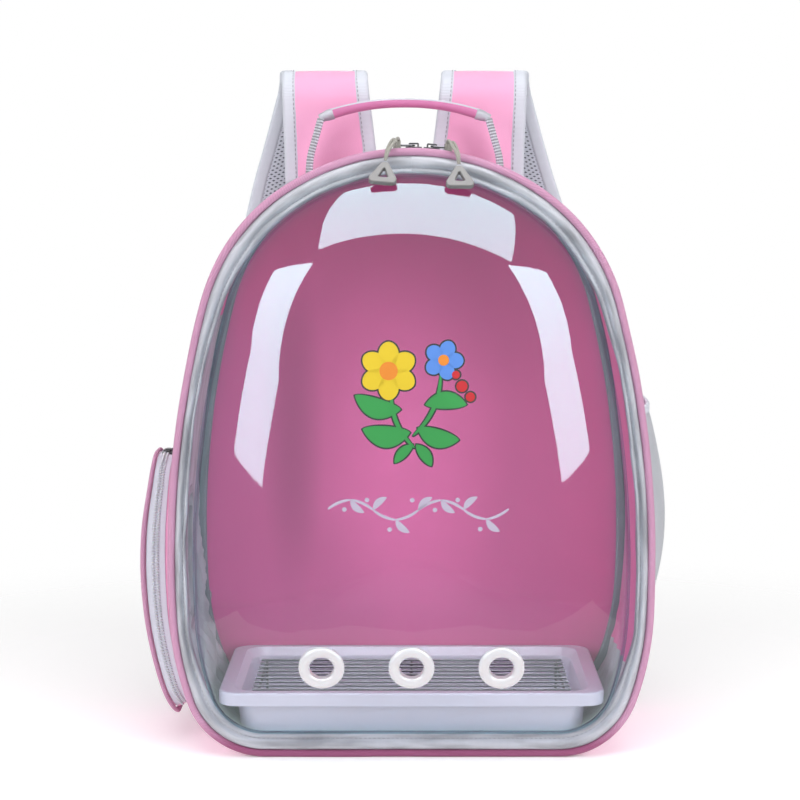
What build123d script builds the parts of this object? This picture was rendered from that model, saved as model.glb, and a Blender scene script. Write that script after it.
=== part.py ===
from build123d import *
import os
from math import asin, atan2, cos, degrees, hypot, radians, sin, sqrt

# Clear-dome backpack for carrying a small bird.  Millimetres, +Z up, -Y is the front (the dome),
# origin on the floor under the middle of the base.

# ---------------------------------------------------------------- driving dimensions
body_height = 420.0
body_width = 336.0
body_depth = 155.0            # front seam to back seam

# The bag's front outline is a chain of tangent arcs.  Headings turn clockwise from the top centre.
# The top and side radii follow from the height and the width.
top_heading = 31.0
shoulder_heading = 75.0
side_heading = 93.0
lower_heading = 109.0
shoulder_radius = 138.0
lower_radius = 212.0
corner_radius = 57.0

piping_radius = 2.75
gusset_thickness = 4.0
lining_thickness = 1.2
sewn_gap = 0.3                # between a moving piece and what it passes
laid_gap = 0.2                # between two layers that lie on each other

# Door leaf
binding_width = 12.0
binding_depth = 6.2
binding_roll = 2.6            # radius of its folded edges
dome_wall = 1.2
dome_rise = 61.0              # how far the dome stands out of its flange
dome_fullness = 2.1           # exponent of its profile; 2 is an ellipse
dome_centre_height = 170.0    # height of the dome's most forward point
flange_grip = 8.7             # how far the flange reaches into the binding
eyelet_diameter = 30.6
eyelet_hole = 16.5
eyelet_barrel_wall = 1.4
eyelet_thickness = 3.4
eyelet_spacing = 60.0
eyelet_height = 75.0
washer_diameter = 25.0
washer_thickness = 1.6

# Door zip
zip_setback = 15.0            # from the front seam back to the line between the teeth
tape_thickness = 1.2
tape_inset = 1.6
tape_width = 10.5
teeth_height = 2.2
teeth_width = 1.9
teeth_spacing = 1.2           # channel between the two rows
zip_end_height = 30.0         # the zip stops this high above the floor
slider_length = 11.0
slider_width = 8.4
slider_plate = 1.2
slider_lip = 0.8
slider_meeting_x = 7.5        # the sliders meet a little right of the middle
slider_gap = 12.0             # centre to centre, when the door is shut
bail_length = 7.0
bail_width = 2.6
bail_leg = 1.1
bail_roof = 1.0
ring_length = 13.0
ring_width = 8.0
ring_wire = 1.3
pull_cord_diameter = 2.4
pull_width = 23.0
pull_height = 22.0
pull_thickness = 3.4
pull_corner = 3.2
pull_frame = 4.6              # width of the triangle's three bars
pull_lean = 42.0              # the pull lies on the slope of the dome
pull_offset = 19.0            # sideways from the slider
pull_drop = 10.5              # from the top of the piping to the cord's hole in the pull
pull_stand_out = 8.0          # the same point, forward of the front seam

# Base and inside
base_panel_thickness = 3.0
base_board_thickness = 2.8
floor_liner_thickness = 8.0
back_panel_thickness = 6.2
inner_binding_width = 7.6
inner_binding_depth = 2.6
back_pad_thickness = 10.0
back_pad_width = 74.0
back_pad_height = 270.0
back_pad_spacing = 12.0       # channel between the two pads
back_pad_bottom = 72.0
back_pad_corner = 18.0
window_height = 96.0
window_length = 64.0
window_bottom = 78.0
window_corner = 14.0
mesh_thickness = 1.0

# Dropping tray and standing grid
tray_width = 268.0
tray_depth = 151.0
tray_height = 32.3
tray_setback = 6.5            # its lip stands this far in front of the front seam
tray_corner = 15.0
tray_wall = 2.0
tray_skirt = 9.2
tray_lip_side = 12.0
tray_lip_front = 9.0
tray_draft = 2.5
tray_slope = 4.0
grid_width = 226.0
grid_depth = 113.0
grid_wire = 1.8
grid_wire_count = 11
grid_edge = 4.0               # from a long wire's end to the outer cross wire
grid_leg_bend = 3.0
grid_weld_gap = 0.1

# Top handle
handle_span = 132.0
handle_rise = 51.0            # grip centre above the sewn ends
handle_grip_span = 104.0
handle_grip_sag = 11.5
handle_grip_radius = 4.4
handle_wrap_length = 11.0
handle_wrap_radius = 5.2
handle_from_back = 19.5
handle_webbing_width = 20.0
handle_webbing_thickness = 2.4
handle_webbing_turn = 20.0
handle_fold = 60.0            # how far the handle tips forward

# Shoulder straps
strap_thickness = 11.0
strap_edge = 11.0
strap_edge_thickness = 12.4
strap_width_top = 65.0
strap_width_bottom = 60.0
strap_root_x = 62.0
strap_flare_x = 94.0
strap_low_x = 112.0
strap_apex_height = 481.0
strap_bend = 16.0
strap_end_height = 96.0
strap_tuck = 21.0             # how far the strap's end lies nearer to the back than its bend
strap_root_depth = 24.0       # how far the root reaches down the back below the top
lock_width = 37.0
lock_height = 30.0
lock_thickness = 4.0
lock_bar = 4.0
lock_rail = 4.5
lock_slot = 7.0
webbing_width = 25.0
webbing_thickness = 1.6
webbing_tail = 62.0
anchor_height = 14.0
anchor_length = 40.0
anchor_width = 44.0
anchor_thickness = 3.0

# Side pockets
pocket_bulge = 20.0
pocket_bottom = 24.0
pocket_height = 179.0
pocket_length = 98.0
pocket_corner = 18.0
pocket_front = 37.5           # from the front seam to the pocket's front edge
pocket_panel = 2.6
pocket_wall = 2.4
pocket_teeth_from_body = 7.0
pocket_teeth_width = 4.0
pocket_teeth_height = 1.0
mesh_pocket_bottom = 98.0
mesh_pocket_height = 137.0
mesh_pocket_bulge = 14.0
mesh_pocket_mouth = 8.0
mesh_pocket_length = 112.0
mesh_pocket_front = 27.5
mesh_pocket_sheet = 1.2
hem_width = 7.0
hem_thickness = 3.0

# ---------------------------------------------------------------- places worked out from them
front_y = -body_depth / 2
back_y = body_depth / 2
zip_y = front_y + zip_setback
tape_middle_inset = tape_inset + tape_thickness / 2
gusset_front_y = zip_y + tape_width
gusset_back_y = back_y - 2 * piping_radius - laid_gap
fixed_front_y = front_y + piping_radius + sewn_gap
binding_outer = 2 * piping_radius + 0.1
binding_inner = binding_outer + binding_width
flange_y = front_y - 0.5
lining_inset = gusset_thickness + lining_thickness
board_bottom = base_panel_thickness + 0.1
liner_bottom = board_bottom + base_board_thickness + 0.1
liner_top = liner_bottom + floor_liner_thickness
tray_bottom = liner_top + sewn_gap
tray_top = tray_bottom + tray_height
tray_y = front_y - tray_setback + tray_depth / 2
back_panel_front = back_y - back_panel_thickness
pad_y = back_y + laid_gap


def solved_radii():
    """Top and side radii that close the chain of arcs on the stated height and width."""
    s1, c1 = sin(radians(top_heading)), cos(radians(top_heading))
    s2, c2 = sin(radians(shoulder_heading)), cos(radians(shoulder_heading))
    c3, c4 = cos(radians(side_heading)), cos(radians(lower_heading))
    drop = body_height - shoulder_radius * (c1 - c2) - lower_radius * (c3 - c4) - corner_radius * (1 + c4)
    reach = body_width / 2 - shoulder_radius * (s2 - s1)
    # top * (1 - c1) + side * (c2 - c3) = drop   and   top * s1 + side * (1 - s2) = reach
    determinant = (1 - c1) * (1 - s2) - s1 * (c2 - c3)
    top = (drop * (1 - s2) - reach * (c2 - c3)) / determinant
    side = ((1 - c1) * reach - s1 * drop) / determinant
    return top, side


top_radius, side_radius = solved_radii()
arch_chain = [(top_radius, 0.0, top_heading), (shoulder_radius, top_heading, shoulder_heading),
              (side_radius, shoulder_heading, side_heading), (lower_radius, side_heading, lower_heading),
              (corner_radius, lower_heading, 180.0)]


def outline_arcs(inset):
    """Start, middle and end (x, z) of each arc of the right half, from the top centre to the base.

    A radius R turning from heading a to b moves R (sin b - sin a) right and R (cos a - cos b) down.
    """
    x, z = 0.0, body_height - inset
    arcs = []
    for radius, start, end in arch_chain:
        r = radius - inset
        points = []
        for heading in (start, (start + end) / 2, end):
            a, b = radians(start), radians(heading)
            points.append((x + r * (sin(b) - sin(a)), z - r * (cos(a) - cos(b))))
        arcs.append(points)
        x, z = points[-1]
    return arcs


def base_half(inset=0.0):
    """Half the length of the flat base at this inset."""
    return outline_arcs(inset)[-1][-1][0]


def outline_wire(inset, y, scale=1.0, centre_z=0.0):
    """The bag's outline, moved in by inset and scaled about (0, centre_z), on the plane at y."""
    def place(point, side):
        return side * point[0] * scale, y, centre_z + (point[1] - centre_z) * scale
    arcs = outline_arcs(inset)
    edges = [ThreePointArc(*[place(p, 1) for p in arc]) for arc in arcs]
    edges.append(Line(place(arcs[-1][-1], 1), place(arcs[-1][-1], -1)))
    edges += [ThreePointArc(*[place(p, -1) for p in reversed(arc)]) for arc in reversed(arcs)]
    return Wire(edges)


def slab(inset, y_front, y_back):
    """A plate of the outline's shape."""
    return Solid.extrude(Face(outline_wire(inset, y_front)), Vector(0, y_back - y_front, 0))


def ring(outer, inner, y_front, y_back):
    """A band that follows the outline between two insets."""
    return slab(outer, y_front, y_back) - slab(inner, y_front - 1, y_back + 1)


def block(x, y, z):
    """A box from three (low, high) pairs."""
    sizes = [b - a for a, b in (x, y, z)]
    middle = [(a + b) / 2 for a, b in (x, y, z)]
    return Pos(*middle) * Box(*sizes)


wide = body_width
below_zip = block((-wide, wide), (-wide, wide), (-wide, zip_end_height))
base_strip = block((-base_half(), base_half()), (-wide, wide), (-1, gusset_thickness + lining_thickness + 1))


def arch(outer, inner, y_front, y_back):
    """The part of a ring that lies above the ends of the zip."""
    return ring(outer, inner, y_front, y_back) - below_zip


def swept_ring(profile, inset, y):
    """A profile carried round the outline."""
    start = Plane(origin=(0, y, body_height - inset), x_dir=(0, 1, 0), z_dir=(1, 0, 0))
    return Solid.sweep((start * profile).face(), outline_wire(inset, y))


def rounded_plate(width, depth, corner, z, y):
    """A rounded rectangle lying flat at height z, centred on x = 0 and y."""
    return Plane(origin=(0, y, z)) * RectangleRounded(width, depth, corner)


def prism(width, depth, corner, z_low, z_high, y):
    return extrude(rounded_plate(width, depth, corner, z_low, y), z_high - z_low)


# ---------------------------------------------------------------- door leaf
def front_piping():
    return swept_ring(Circle(piping_radius), piping_radius, front_y)


def back_piping():
    return swept_ring(Circle(piping_radius), piping_radius, back_y - piping_radius)


def dome_binding():
    """Folded soft band; the dome's flange is gripped in its inner groove."""
    middle = (binding_outer + binding_inner) / 2
    band_y = flange_y + dome_wall / 2
    band = swept_ring(RectangleRounded(binding_depth, binding_width, binding_roll), middle, band_y)
    groove_bottom = binding_inner - flange_grip - 0.1
    groove = ring(groove_bottom, binding_inner + 1, flange_y - 0.1, flange_y + dome_wall + 0.1)
    return band - groove


def dome_forward(k):
    """Superellipse: rise * (1 - k^n)^(1/n) for k from the centre (0) to the rim (1)."""
    return dome_rise * (1 - k ** dome_fullness) ** (1 / dome_fullness)


dome_stations = (1.0, 0.985, 0.94, 0.86, 0.74, 0.58, 0.38, 0.16)


def dome_blank(inset, y_rim):
    """Solid bulge lofted through scaled copies of the outline."""
    sections = [outline_wire(inset, y_rim - dome_forward(k), k, dome_centre_height) for k in dome_stations]
    return Solid.make_loft(sections)


def rim_distance(direction_x, direction_z, inset):
    """Distance from the dome's centre to its rim in a direction in the front plane."""
    x, z = 0.0, body_height - inset
    best = (z - 0) * 10
    for radius, start, end in arch_chain:
        r = radius - inset
        centre = (x - r * sin(radians(start)), z - r * cos(radians(start)))
        x, z = centre[0] + r * sin(radians(end)), centre[1] + r * cos(radians(end))
        along = abs(direction_x) * centre[0] + direction_z * (centre[1] - dome_centre_height)
        square = along ** 2 - centre[0] ** 2 - (centre[1] - dome_centre_height) ** 2 + r ** 2
        if square < 0:
            continue
        reach = along + sqrt(square)
        hit = (abs(direction_x) * reach - centre[0], dome_centre_height + direction_z * reach - centre[1])
        heading = degrees(atan2(hit[0], hit[1]))
        if start - 1e-6 <= heading <= end + 1e-6:
            best = min(best, reach)
    if direction_z < 0:
        to_base = (dome_centre_height - inset) / -direction_z
        if abs(direction_x) * to_base <= base_half(inset) + 1e-6:
            best = min(best, to_base)
    return best


def dome_y(x, z):
    """The y of the dome's outer skin in front of (x, z)."""
    dx, dz = x, z - dome_centre_height
    distance = hypot(dx, dz)
    if distance < 1e-6:
        return flange_y - dome_rise
    k = distance / rim_distance(dx / distance, dz / distance, binding_inner)
    return flange_y - dome_forward(min(k, 1.0))


def dome_plane(x, z):
    """Plane on the dome's skin at (x, z) whose normal points out of the dome."""
    step = 4.0
    slope_x = (dome_y(x + step, z) - dome_y(x - step, z)) / (2 * step)
    slope_z = (dome_y(x, z + step) - dome_y(x, z - step)) / (2 * step)
    return Plane(origin=(x, dome_y(x, z), z), x_dir=(1, slope_x, 0), z_dir=(slope_x, -1, slope_z))


eyelet_planes = {side: dome_plane(number * eyelet_spacing, eyelet_height)
                 for side, number in (("left", -1), ("centre", 0), ("right", 1))}
barrel_radius = eyelet_hole / 2 + eyelet_barrel_wall


def dome_shell():
    outer = dome_blank(binding_inner, flange_y)
    inner = dome_blank(binding_inner + dome_wall, flange_y + dome_wall)
    flange = slab(binding_inner - flange_grip, flange_y, flange_y + dome_wall)
    shell = outer + flange - inner
    for plane in eyelet_planes.values():
        shell -= plane * Cylinder(barrel_radius + 0.1, 30)
    return shell


def eyelet(plane, dome):
    """Snap grommet: rounded flange outside, barrel through the dome's hole."""
    outer, hole = eyelet_diameter / 2, eyelet_hole / 2
    lip = eyelet_thickness
    outline = [(hole, -dome_wall - washer_thickness), (barrel_radius, -dome_wall - washer_thickness),
               (barrel_radius, -0.9), (outer, -0.9), (outer, lip * 0.45)]
    edges = Polyline(*[(x, 0, z) for x, z in outline])
    crown = ThreePointArc((outer, 0, lip * 0.45), ((outer + hole) / 2, 0, lip), (hole, 0, lip * 0.45))
    close = Line((hole, 0, lip * 0.45), (hole, 0, -dome_wall - washer_thickness))
    profile = Face(Wire([*edges.edges(), crown, close]))
    return plane * revolve(profile, Axis.Z) - dome


def eyelet_washer(plane, dome):
    """Flat ring pressed on the barrel's end inside the dome."""
    seat = dome_wall / 2
    disc = Cylinder(washer_diameter / 2, washer_thickness + seat) - Cylinder(barrel_radius + 0.1, 9)
    middle = -dome_wall - (washer_thickness + seat) / 2 + seat
    return (plane * Pos(0, 0, middle) * disc - dome).solids().sort_by(SortBy.VOLUME)[-1]


def zip_tape(y_front, y_back):
    return arch(tape_inset, tape_inset + tape_thickness, y_front, y_back)


def teeth_row(y_front):
    middle = tape_middle_inset
    return arch(middle - teeth_height / 2, middle + teeth_height / 2, y_front, y_front + teeth_width)


# ---------------------------------------------------------------- zip sliders
tape_top = body_height - tape_middle_inset
arc_line = top_radius - tape_middle_inset
slider_angles = {side: degrees((slider_meeting_x + way * slider_gap / 2) / arc_line)
                 for side, way in (("left", -1), ("right", 1))}
plate_low = teeth_height / 2 + slider_lip
plate_high = plate_low + slider_plate
deck = tape_top + plate_high
knot_tube = pull_cord_diameter / 2 + 0.1
ring_level = deck + ring_wire / 2 + laid_gap
ring_inner_x = bail_length / 2 - bail_leg - ring_wire - laid_gap
knot_x = ring_length - ring_inner_x - ring_wire / 2
knot_radius = ring_wire / 2 + knot_tube + laid_gap
knot_top = ring_level + knot_radius      # the pull swings about the knot's top


def on_arc(shape, angle):
    """Turn a shape about the centre of the top arc; positive goes right."""
    return shape.rotate(Axis((0, 0, body_height - top_radius), (0, 1, 0)), angle)


def tube(path, radius):
    """A round bar along a path."""
    section = Plane(origin=path @ 0, z_dir=path % 0) * Circle(radius)
    return Solid.sweep(section.face(), path)


def slider(way):
    """Two plates joined by a post that runs in the channel between the rows of teeth, and a bail."""
    middle = zip_y
    x = (-slider_length / 2, slider_length / 2)
    y = (middle - slider_width / 2, middle + slider_width / 2)
    body = block(x, y, (tape_top + plate_low, deck))
    body += block(x, y, (tape_top - plate_high, tape_top - plate_low))
    body = fillet(body.edges().filter_by(Axis.Z), 2.0)
    post_x = sorted((-way * 1.5, -way * slider_length / 2))
    post_half = teeth_spacing / 2 - sewn_gap
    body += block(post_x, (middle - post_half, middle + post_half), (tape_top - plate_high, deck))
    roof = ring_wire + 2 * laid_gap + bail_roof
    bail = block((-bail_length / 2, bail_length / 2), (middle - bail_width / 2, middle + bail_width / 2),
                 (deck, deck + roof))
    bail = fillet(bail.edges().filter_by(Axis.Y).group_by(Axis.Z)[-1], bail_roof)
    inside = bail_length / 2 - bail_leg
    bail -= block((-inside, inside), (middle - bail_width, middle + bail_width),
                  (deck, deck + ring_wire + 2 * laid_gap))
    return body + bail


def wire_ring(way):
    """Oval ring through the bail, lying outward along the zip."""
    centre_x = way * (ring_length / 2 - ring_inner_x)
    outline = SlotOverall(ring_length - ring_wire, ring_width - ring_wire)
    return tube((Plane(origin=(centre_x, zip_y, ring_level)) * outline).wire(), ring_wire / 2)


pull_eye = (pull_offset, front_y - pull_stand_out, body_height - pull_drop)


def cord_knot(way):
    """Turn of cord drawn tight round the ring's outer end."""
    return Pos(way * knot_x, zip_y, ring_level) * Rot(90, 0, 0) * Torus(knot_radius, knot_tube)


def pull_cord(way):
    """From the knot over the piping and down to the pull."""
    start_y = zip_y - knot_tube - 2 * sewn_gap
    route = [(way * knot_x, start_y, knot_top), (way * (knot_x + 2.0), front_y + 1.0, knot_top + 0.3),
             (way * (pull_eye[0] - 1.0), pull_eye[1] + 0.4, body_height - piping_radius / 2),
             (way * pull_eye[0], pull_eye[1], pull_eye[2] + 0.9)]
    return tube(FilletPolyline(*route, radius=[3.0, 2.2]), pull_cord_diameter / 2)


def pull_tab(way):
    """Moulded triangle with a triangular opening, point up, leaning on the dome's slope."""
    half = pull_width / 2
    outer = Polygon((0, 3.6), (half, 3.6 - pull_height), (-half, 3.6 - pull_height), align=None)
    outer = fillet(outer.vertices(), pull_corner)
    inner = Polygon((0, -4.6), (half - 1.75 * pull_frame, 3.6 - pull_height + pull_frame),
                    (1.75 * pull_frame - half, 3.6 - pull_height + pull_frame), align=None)
    inner = fillet(inner.vertices(), 0.7)
    plate = extrude(outer - inner, pull_thickness / 2, both=True)
    plate = chamfer(plate.edges().group_by(Axis.Z)[-1], 0.5)
    leaning = Pos(way * pull_eye[0], pull_eye[1], pull_eye[2]) * Rot(-pull_lean, 0, 0)
    return leaning * Rot(90, 0, 0) * Rot(0, 0, way * 6) * plate


# ---------------------------------------------------------------- bag body
window_y = (-window_length / 2, window_length / 2)


def window_prism(margin):
    """The mesh window's opening through the left wall, moved in by a margin."""
    opening = RectangleRounded(window_length - 2 * margin, window_height - 2 * margin, window_corner - margin)
    centre = (-wide, 0, window_bottom + window_height / 2)
    plane = Plane(origin=centre, x_dir=(0, 1, 0), z_dir=(1, 0, 0))
    return extrude(plane * opening, wide)


def gusset_panel():
    """Padded sides and top; below the zip's ends it reaches forward to the front seam."""
    full = ring(0, gusset_thickness, fixed_front_y, gusset_back_y)
    above = block((-wide, wide), (-wide, gusset_front_y), (zip_end_height - sewn_gap, 2 * wide))
    return full - above - base_strip - window_prism(0)


def gusset_lining():
    band = ring(gusset_thickness + 0.05, lining_inset, gusset_front_y, back_panel_front - laid_gap)
    return band - base_strip - window_prism(0)


def left_window_mesh():
    middle = gusset_thickness / 2
    sheet = ring(middle, middle + mesh_thickness, -window_length, window_length)
    return sheet & window_prism(0.05)


def back_panel():
    return slab(2 * piping_radius + 0.1, back_panel_front, back_y)


def inner_binding():
    """Bias binding over the raw edge of the back seam, inside the bag."""
    inset = lining_inset + laid_gap
    y_back = back_panel_front - 0.1
    band = ring(inset, inset + inner_binding_width, y_back - inner_binding_depth, y_back)
    return band - block((-wide, wide), (-wide, wide), (-wide, liner_top + laid_gap))


def base_panel():
    half = base_half()
    return block((-half, half), (fixed_front_y, gusset_back_y), (0, base_panel_thickness))


def base_board():
    half = base_half() - 3
    board = block((-half, half), (zip_y, back_panel_front - 1), (board_bottom, liner_bottom - 0.1))
    return fillet(board.edges().filter_by(Axis.Z), 8)


def floor_liner():
    """Padded floor; its ends fill the round of the lower corners."""
    y_back = back_panel_front - laid_gap
    pad = slab(lining_inset + laid_gap, zip_y - 6, y_back)
    pad = pad & block((-wide, wide), (-wide, wide), (liner_bottom, liner_top))
    return fillet(pad.edges().group_by(Axis.Z)[-1].filter_by(Axis.X), 2.0)


def back_pad(way):
    """One of the two air-mesh pads against the wearer's back."""
    centre_x = way * (back_pad_spacing + back_pad_width) / 2
    plane = Plane(origin=(centre_x, pad_y, back_pad_bottom + back_pad_height / 2), x_dir=(1, 0, 0), z_dir=(0, 1, 0))
    pad = extrude(plane * RectangleRounded(back_pad_width, back_pad_height, back_pad_corner), back_pad_thickness)
    return fillet(pad.edges().group_by(Axis.Y)[-1], 3.5)


# ---------------------------------------------------------------- dropping tray and grid
basin_width = tray_width - 2 * tray_lip_side
basin_depth = tray_depth - 2 * tray_lip_front
skirt_bottom = tray_top - tray_skirt


def tray_loft(low_inset, high_inset, z_low, z_high):
    """Tapered block between two rounded rectangles, inset from the basin's outer size."""
    ends = [(low_inset, z_low), (high_inset, z_high)]
    return loft([rounded_plate(basin_width - 2 * inset, basin_depth - 2 * inset, tray_corner - 1, z, tray_y)
                 for inset, z in ends])


def tray():
    """Moulded basin with a turned-down rim and a sloped inner edge."""
    corner = tray_corner
    ledge = tray_top - tray_slope - tray_wall
    body = tray_loft(tray_draft, 0, tray_bottom, ledge) + tray_loft(0, -tray_slope, ledge, tray_top)
    rim = prism(tray_width, tray_depth, corner, skirt_bottom, tray_top, tray_y)
    rim = fillet(rim.edges().group_by(Axis.Z)[-1], 1.6)
    under = prism(tray_width - 2 * tray_wall, tray_depth - 2 * tray_wall, corner - tray_wall,
                  skirt_bottom - 1, tray_top - tray_wall, tray_y)
    cavity = tray_loft(tray_wall + tray_draft, tray_wall, tray_bottom + tray_wall, ledge)
    mouth = tray_loft(tray_wall, tray_wall - tray_slope, ledge, tray_top)
    return (rim - under + body) - cavity - mouth


grid_top = tray_top - tray_slope - tray_wall - 0.8
grid_y = tray_y
grid_floor = tray_bottom + tray_wall + laid_gap


def long_wires():
    """Parallel wires that the bird stands on, laid side by side."""
    radius = grid_wire / 2
    pitch = grid_depth / (grid_wire_count - 1)
    return Compound([Pos(0, grid_y - grid_depth / 2 + number * pitch, grid_top - radius)
                     * Rot(0, 90, 0) * Cylinder(radius, grid_width) for number in range(grid_wire_count)])


def cross_wires():
    """Three wires under the long ones, a hair below them, whose ends are bent down as legs."""
    radius = grid_wire / 2
    cross_z = grid_top - grid_wire * 1.5 - grid_weld_gap
    reach = grid_depth / 2 + grid_leg_bend + radius / 2
    wires = []
    for x in (-grid_width / 2 + grid_edge, 0, grid_width / 2 - grid_edge):
        route = [(x, grid_y - reach, grid_floor), (x, grid_y - reach, cross_z),
                 (x, grid_y + reach, cross_z), (x, grid_y + reach, grid_floor)]
        wires.append(tube(FilletPolyline(*route, radius=grid_leg_bend), radius))
    return Compound(wires)


# ---------------------------------------------------------------- top handle
handle_y = back_y - handle_from_back
handle_base_z = body_height - top_radius + sqrt(top_radius ** 2 - (handle_span / 2) ** 2)
grip_z = handle_base_z + handle_rise - handle_grip_radius


def grip_arc():
    half = handle_grip_span / 2
    return ThreePointArc((-half, handle_y, grip_z - handle_grip_sag), (0, handle_y, grip_z),
                         (half, handle_y, grip_z - handle_grip_sag))


def handle_grip():
    """Fabric wrapped round the webbing, between the two end wraps."""
    whole = grip_arc()
    share = handle_wrap_length / whole.length
    return tube(whole.trim(share + 0.001, 1 - share - 0.001), handle_grip_radius)


def handle_wrap(way):
    whole = grip_arc()
    share = handle_wrap_length / whole.length
    part = whole.trim(0, share) if way < 0 else whole.trim(1 - share, 1)
    return tube(part, handle_wrap_radius)


def handle_leg(way):
    """Ribbed webbing from the sewn seam up to the grip, turned partly edge-on."""
    top_x = handle_grip_span / 2 + handle_webbing_thickness
    top = (way * top_x, handle_y, grip_z - handle_grip_sag - 0.6)
    foot = (way * handle_span / 2, handle_y, handle_base_z + sewn_gap)
    run = Vector(*foot) - Vector(*top)
    leg = Box(handle_webbing_thickness, handle_webbing_width, run.length)
    lean = degrees(atan2(way * handle_span / 2 - way * top_x, foot[2] - top[2]))
    middle = (Vector(*foot) + Vector(*top)) * 0.5
    ribbon = Pos(*middle) * Rot(0, lean + 180, 0) * Rot(0, 0, way * handle_webbing_turn) * leg
    return ribbon - bag_top - bag_top.rotate(handle_hinge, -handle_fold)


# what the bag fills, also as the folded handle meets it
bag_top = slab(-sewn_gap, front_y - 60, back_y + 60)
handle_hinge = Axis((0, handle_y, handle_base_z + sewn_gap), (1, 0, 0))


# ---------------------------------------------------------------- shoulder straps
strap_root_y = back_y + strap_edge_thickness / 2 + sewn_gap
strap_root_z = body_height - strap_root_depth
bend_z = strap_apex_height - strap_thickness / 2 - strap_bend
bend_y = strap_root_y + strap_bend
strap_fall_y = bend_y + strap_bend
strap_end_y = strap_fall_y - strap_tuck


def fall_point(offset, share):
    """A point of the long curve behind: an arc that starts straight down at the bend."""
    drop = bend_z - strap_end_height
    radius = (drop ** 2 + strap_tuck ** 2) / (2 * strap_tuck)
    turn = share * asin(drop / radius)
    reach = radius + offset
    return 0, strap_fall_y - radius + reach * cos(turn), bend_z - reach * sin(turn)


def strap_ribbon(thickness):
    """Side view: up from the back seam, over a bend and down behind; given the full width of the bag."""
    half = thickness / 2
    sides = []
    for offset in (half, -half):
        reach = strap_bend + offset
        sides.append([Line((0, bend_y - reach, strap_root_z), (0, bend_y - reach, bend_z)),
                      ThreePointArc((0, bend_y - reach, bend_z), (0, bend_y, bend_z + reach),
                                    (0, bend_y + reach, bend_z)),
                      ThreePointArc(*[fall_point(offset, share) for share in (0, 0.5, 1)])])
    outer, inner = sides
    ends = [Line(outer[2] @ 1, inner[2] @ 1), Line(inner[0] @ 0, outer[0] @ 0)]
    profile = Face(Wire([*outer, ends[0], *reversed(inner), ends[1]]))
    return Solid.extrude(profile, Vector(wide, 0, 0))


def strap_shape(from_edge, to_edge, rising):
    """Front view of a lengthwise strip; each edge is a function of the strap's width."""
    top = (strap_root_x, strap_apex_height + 5, strap_width_top)
    if rising:
        stations = [top, (strap_root_x - 1.5, strap_root_z - 20, strap_width_top + 6)]
    else:
        stations = [top, (strap_root_x + 0.6, bend_z + 4, strap_width_top),
                    (strap_flare_x, bend_z - 69, strap_width_top + 3),
                    (strap_low_x, (bend_z + strap_end_height) / 2, strap_width_top - 1),
                    (strap_low_x, strap_end_height - 5, strap_width_bottom)]
    def side(offset):
        """offset(width) gives the distance from the inner edge."""
        return [(x - w / 2 + offset(w), -wide, z) for x, z, w in stations]
    first, second = side(from_edge), side(to_edge)
    if rising:
        left, right = Line(first[0], first[1]), Line(second[0], second[1])
    else:
        down = [(0, 0, -1), (0, 0, -1)]
        left, right = Spline(*first, tangents=down), Spline(*second, tangents=down)
    caps = [Line(first[0], second[0]), Line(first[-1], second[-1])]
    return Face(Wire([left, caps[1], right, caps[0]]))


def strap_strip(from_edge, to_edge, thickness):
    """A strip of the right strap, cut from the ribbon by its front view."""
    ribbon = strap_ribbon(thickness)
    front = Solid.extrude(strap_shape(from_edge, to_edge, True), Vector(0, wide + bend_y, 0))
    behind = Solid.extrude(strap_shape(from_edge, to_edge, False).translate((0, wide + bend_y, 0)),
                           Vector(0, wide, 0))
    return (ribbon & front) + (ribbon & behind)


def strap_pad():
    return strap_strip(lambda w: strap_edge + 0.05, lambda w: w - strap_edge - 0.05, strap_thickness)


def strap_edges():
    inner = strap_strip(lambda w: 0, lambda w: strap_edge, strap_edge_thickness)
    outer = strap_strip(lambda w: w - strap_edge, lambda w: w, strap_edge_thickness)
    return Compound([*inner.solids(), *outer.solids()])


# ladder lock: a frame with three bars
lock_top = strap_end_height - 6.0
bar_levels = (lock_top - lock_bar / 2, lock_top - lock_bar * 1.5 - lock_slot,
              lock_top - lock_height + lock_bar / 2)
hairpin_radius = lock_bar / 2 + sewn_gap + webbing_thickness / 2


def ladder_lock():
    plane = Plane(origin=(strap_low_x, strap_end_y - lock_thickness / 2, lock_top - lock_height / 2),
                  x_dir=(1, 0, 0), z_dir=(0, 1, 0))
    frame = extrude(plane * RectangleRounded(lock_width, lock_height, 4.0), lock_thickness)
    half = lock_width / 2 - lock_rail
    for upper, lower in zip(bar_levels, bar_levels[1:]):
        frame -= block((strap_low_x - half, strap_low_x + half), (back_y, strap_fall_y + wide),
                       (lower + lock_bar / 2, upper - lock_bar / 2))
    return fillet(frame.edges().filter_by(Axis.X), lock_bar * 0.38)


def webbing_ribbon(path, width=webbing_width):
    section = Plane(origin=path @ 0, x_dir=(1, 0, 0), z_dir=path % 0) * Rectangle(width, webbing_thickness)
    return Solid.sweep(section.face(), path, transition=Transition.RIGHT)


def strap_end_loop():
    """Webbing sewn in the pad's end, looped round the lock's top bar."""
    y, level, r = strap_end_y, bar_levels[0], hairpin_radius
    start_z = strap_end_height - 0.2
    left = Line((strap_low_x, y - r, start_z), (strap_low_x, y - r, level))
    turn = ThreePointArc((strap_low_x, y - r, level), (strap_low_x, y, level - r), (strap_low_x, y + r, level))
    right = Line((strap_low_x, y + r, level), (strap_low_x, y + r, start_z))
    return webbing_ribbon(Wire([left, turn, right]))


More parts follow.
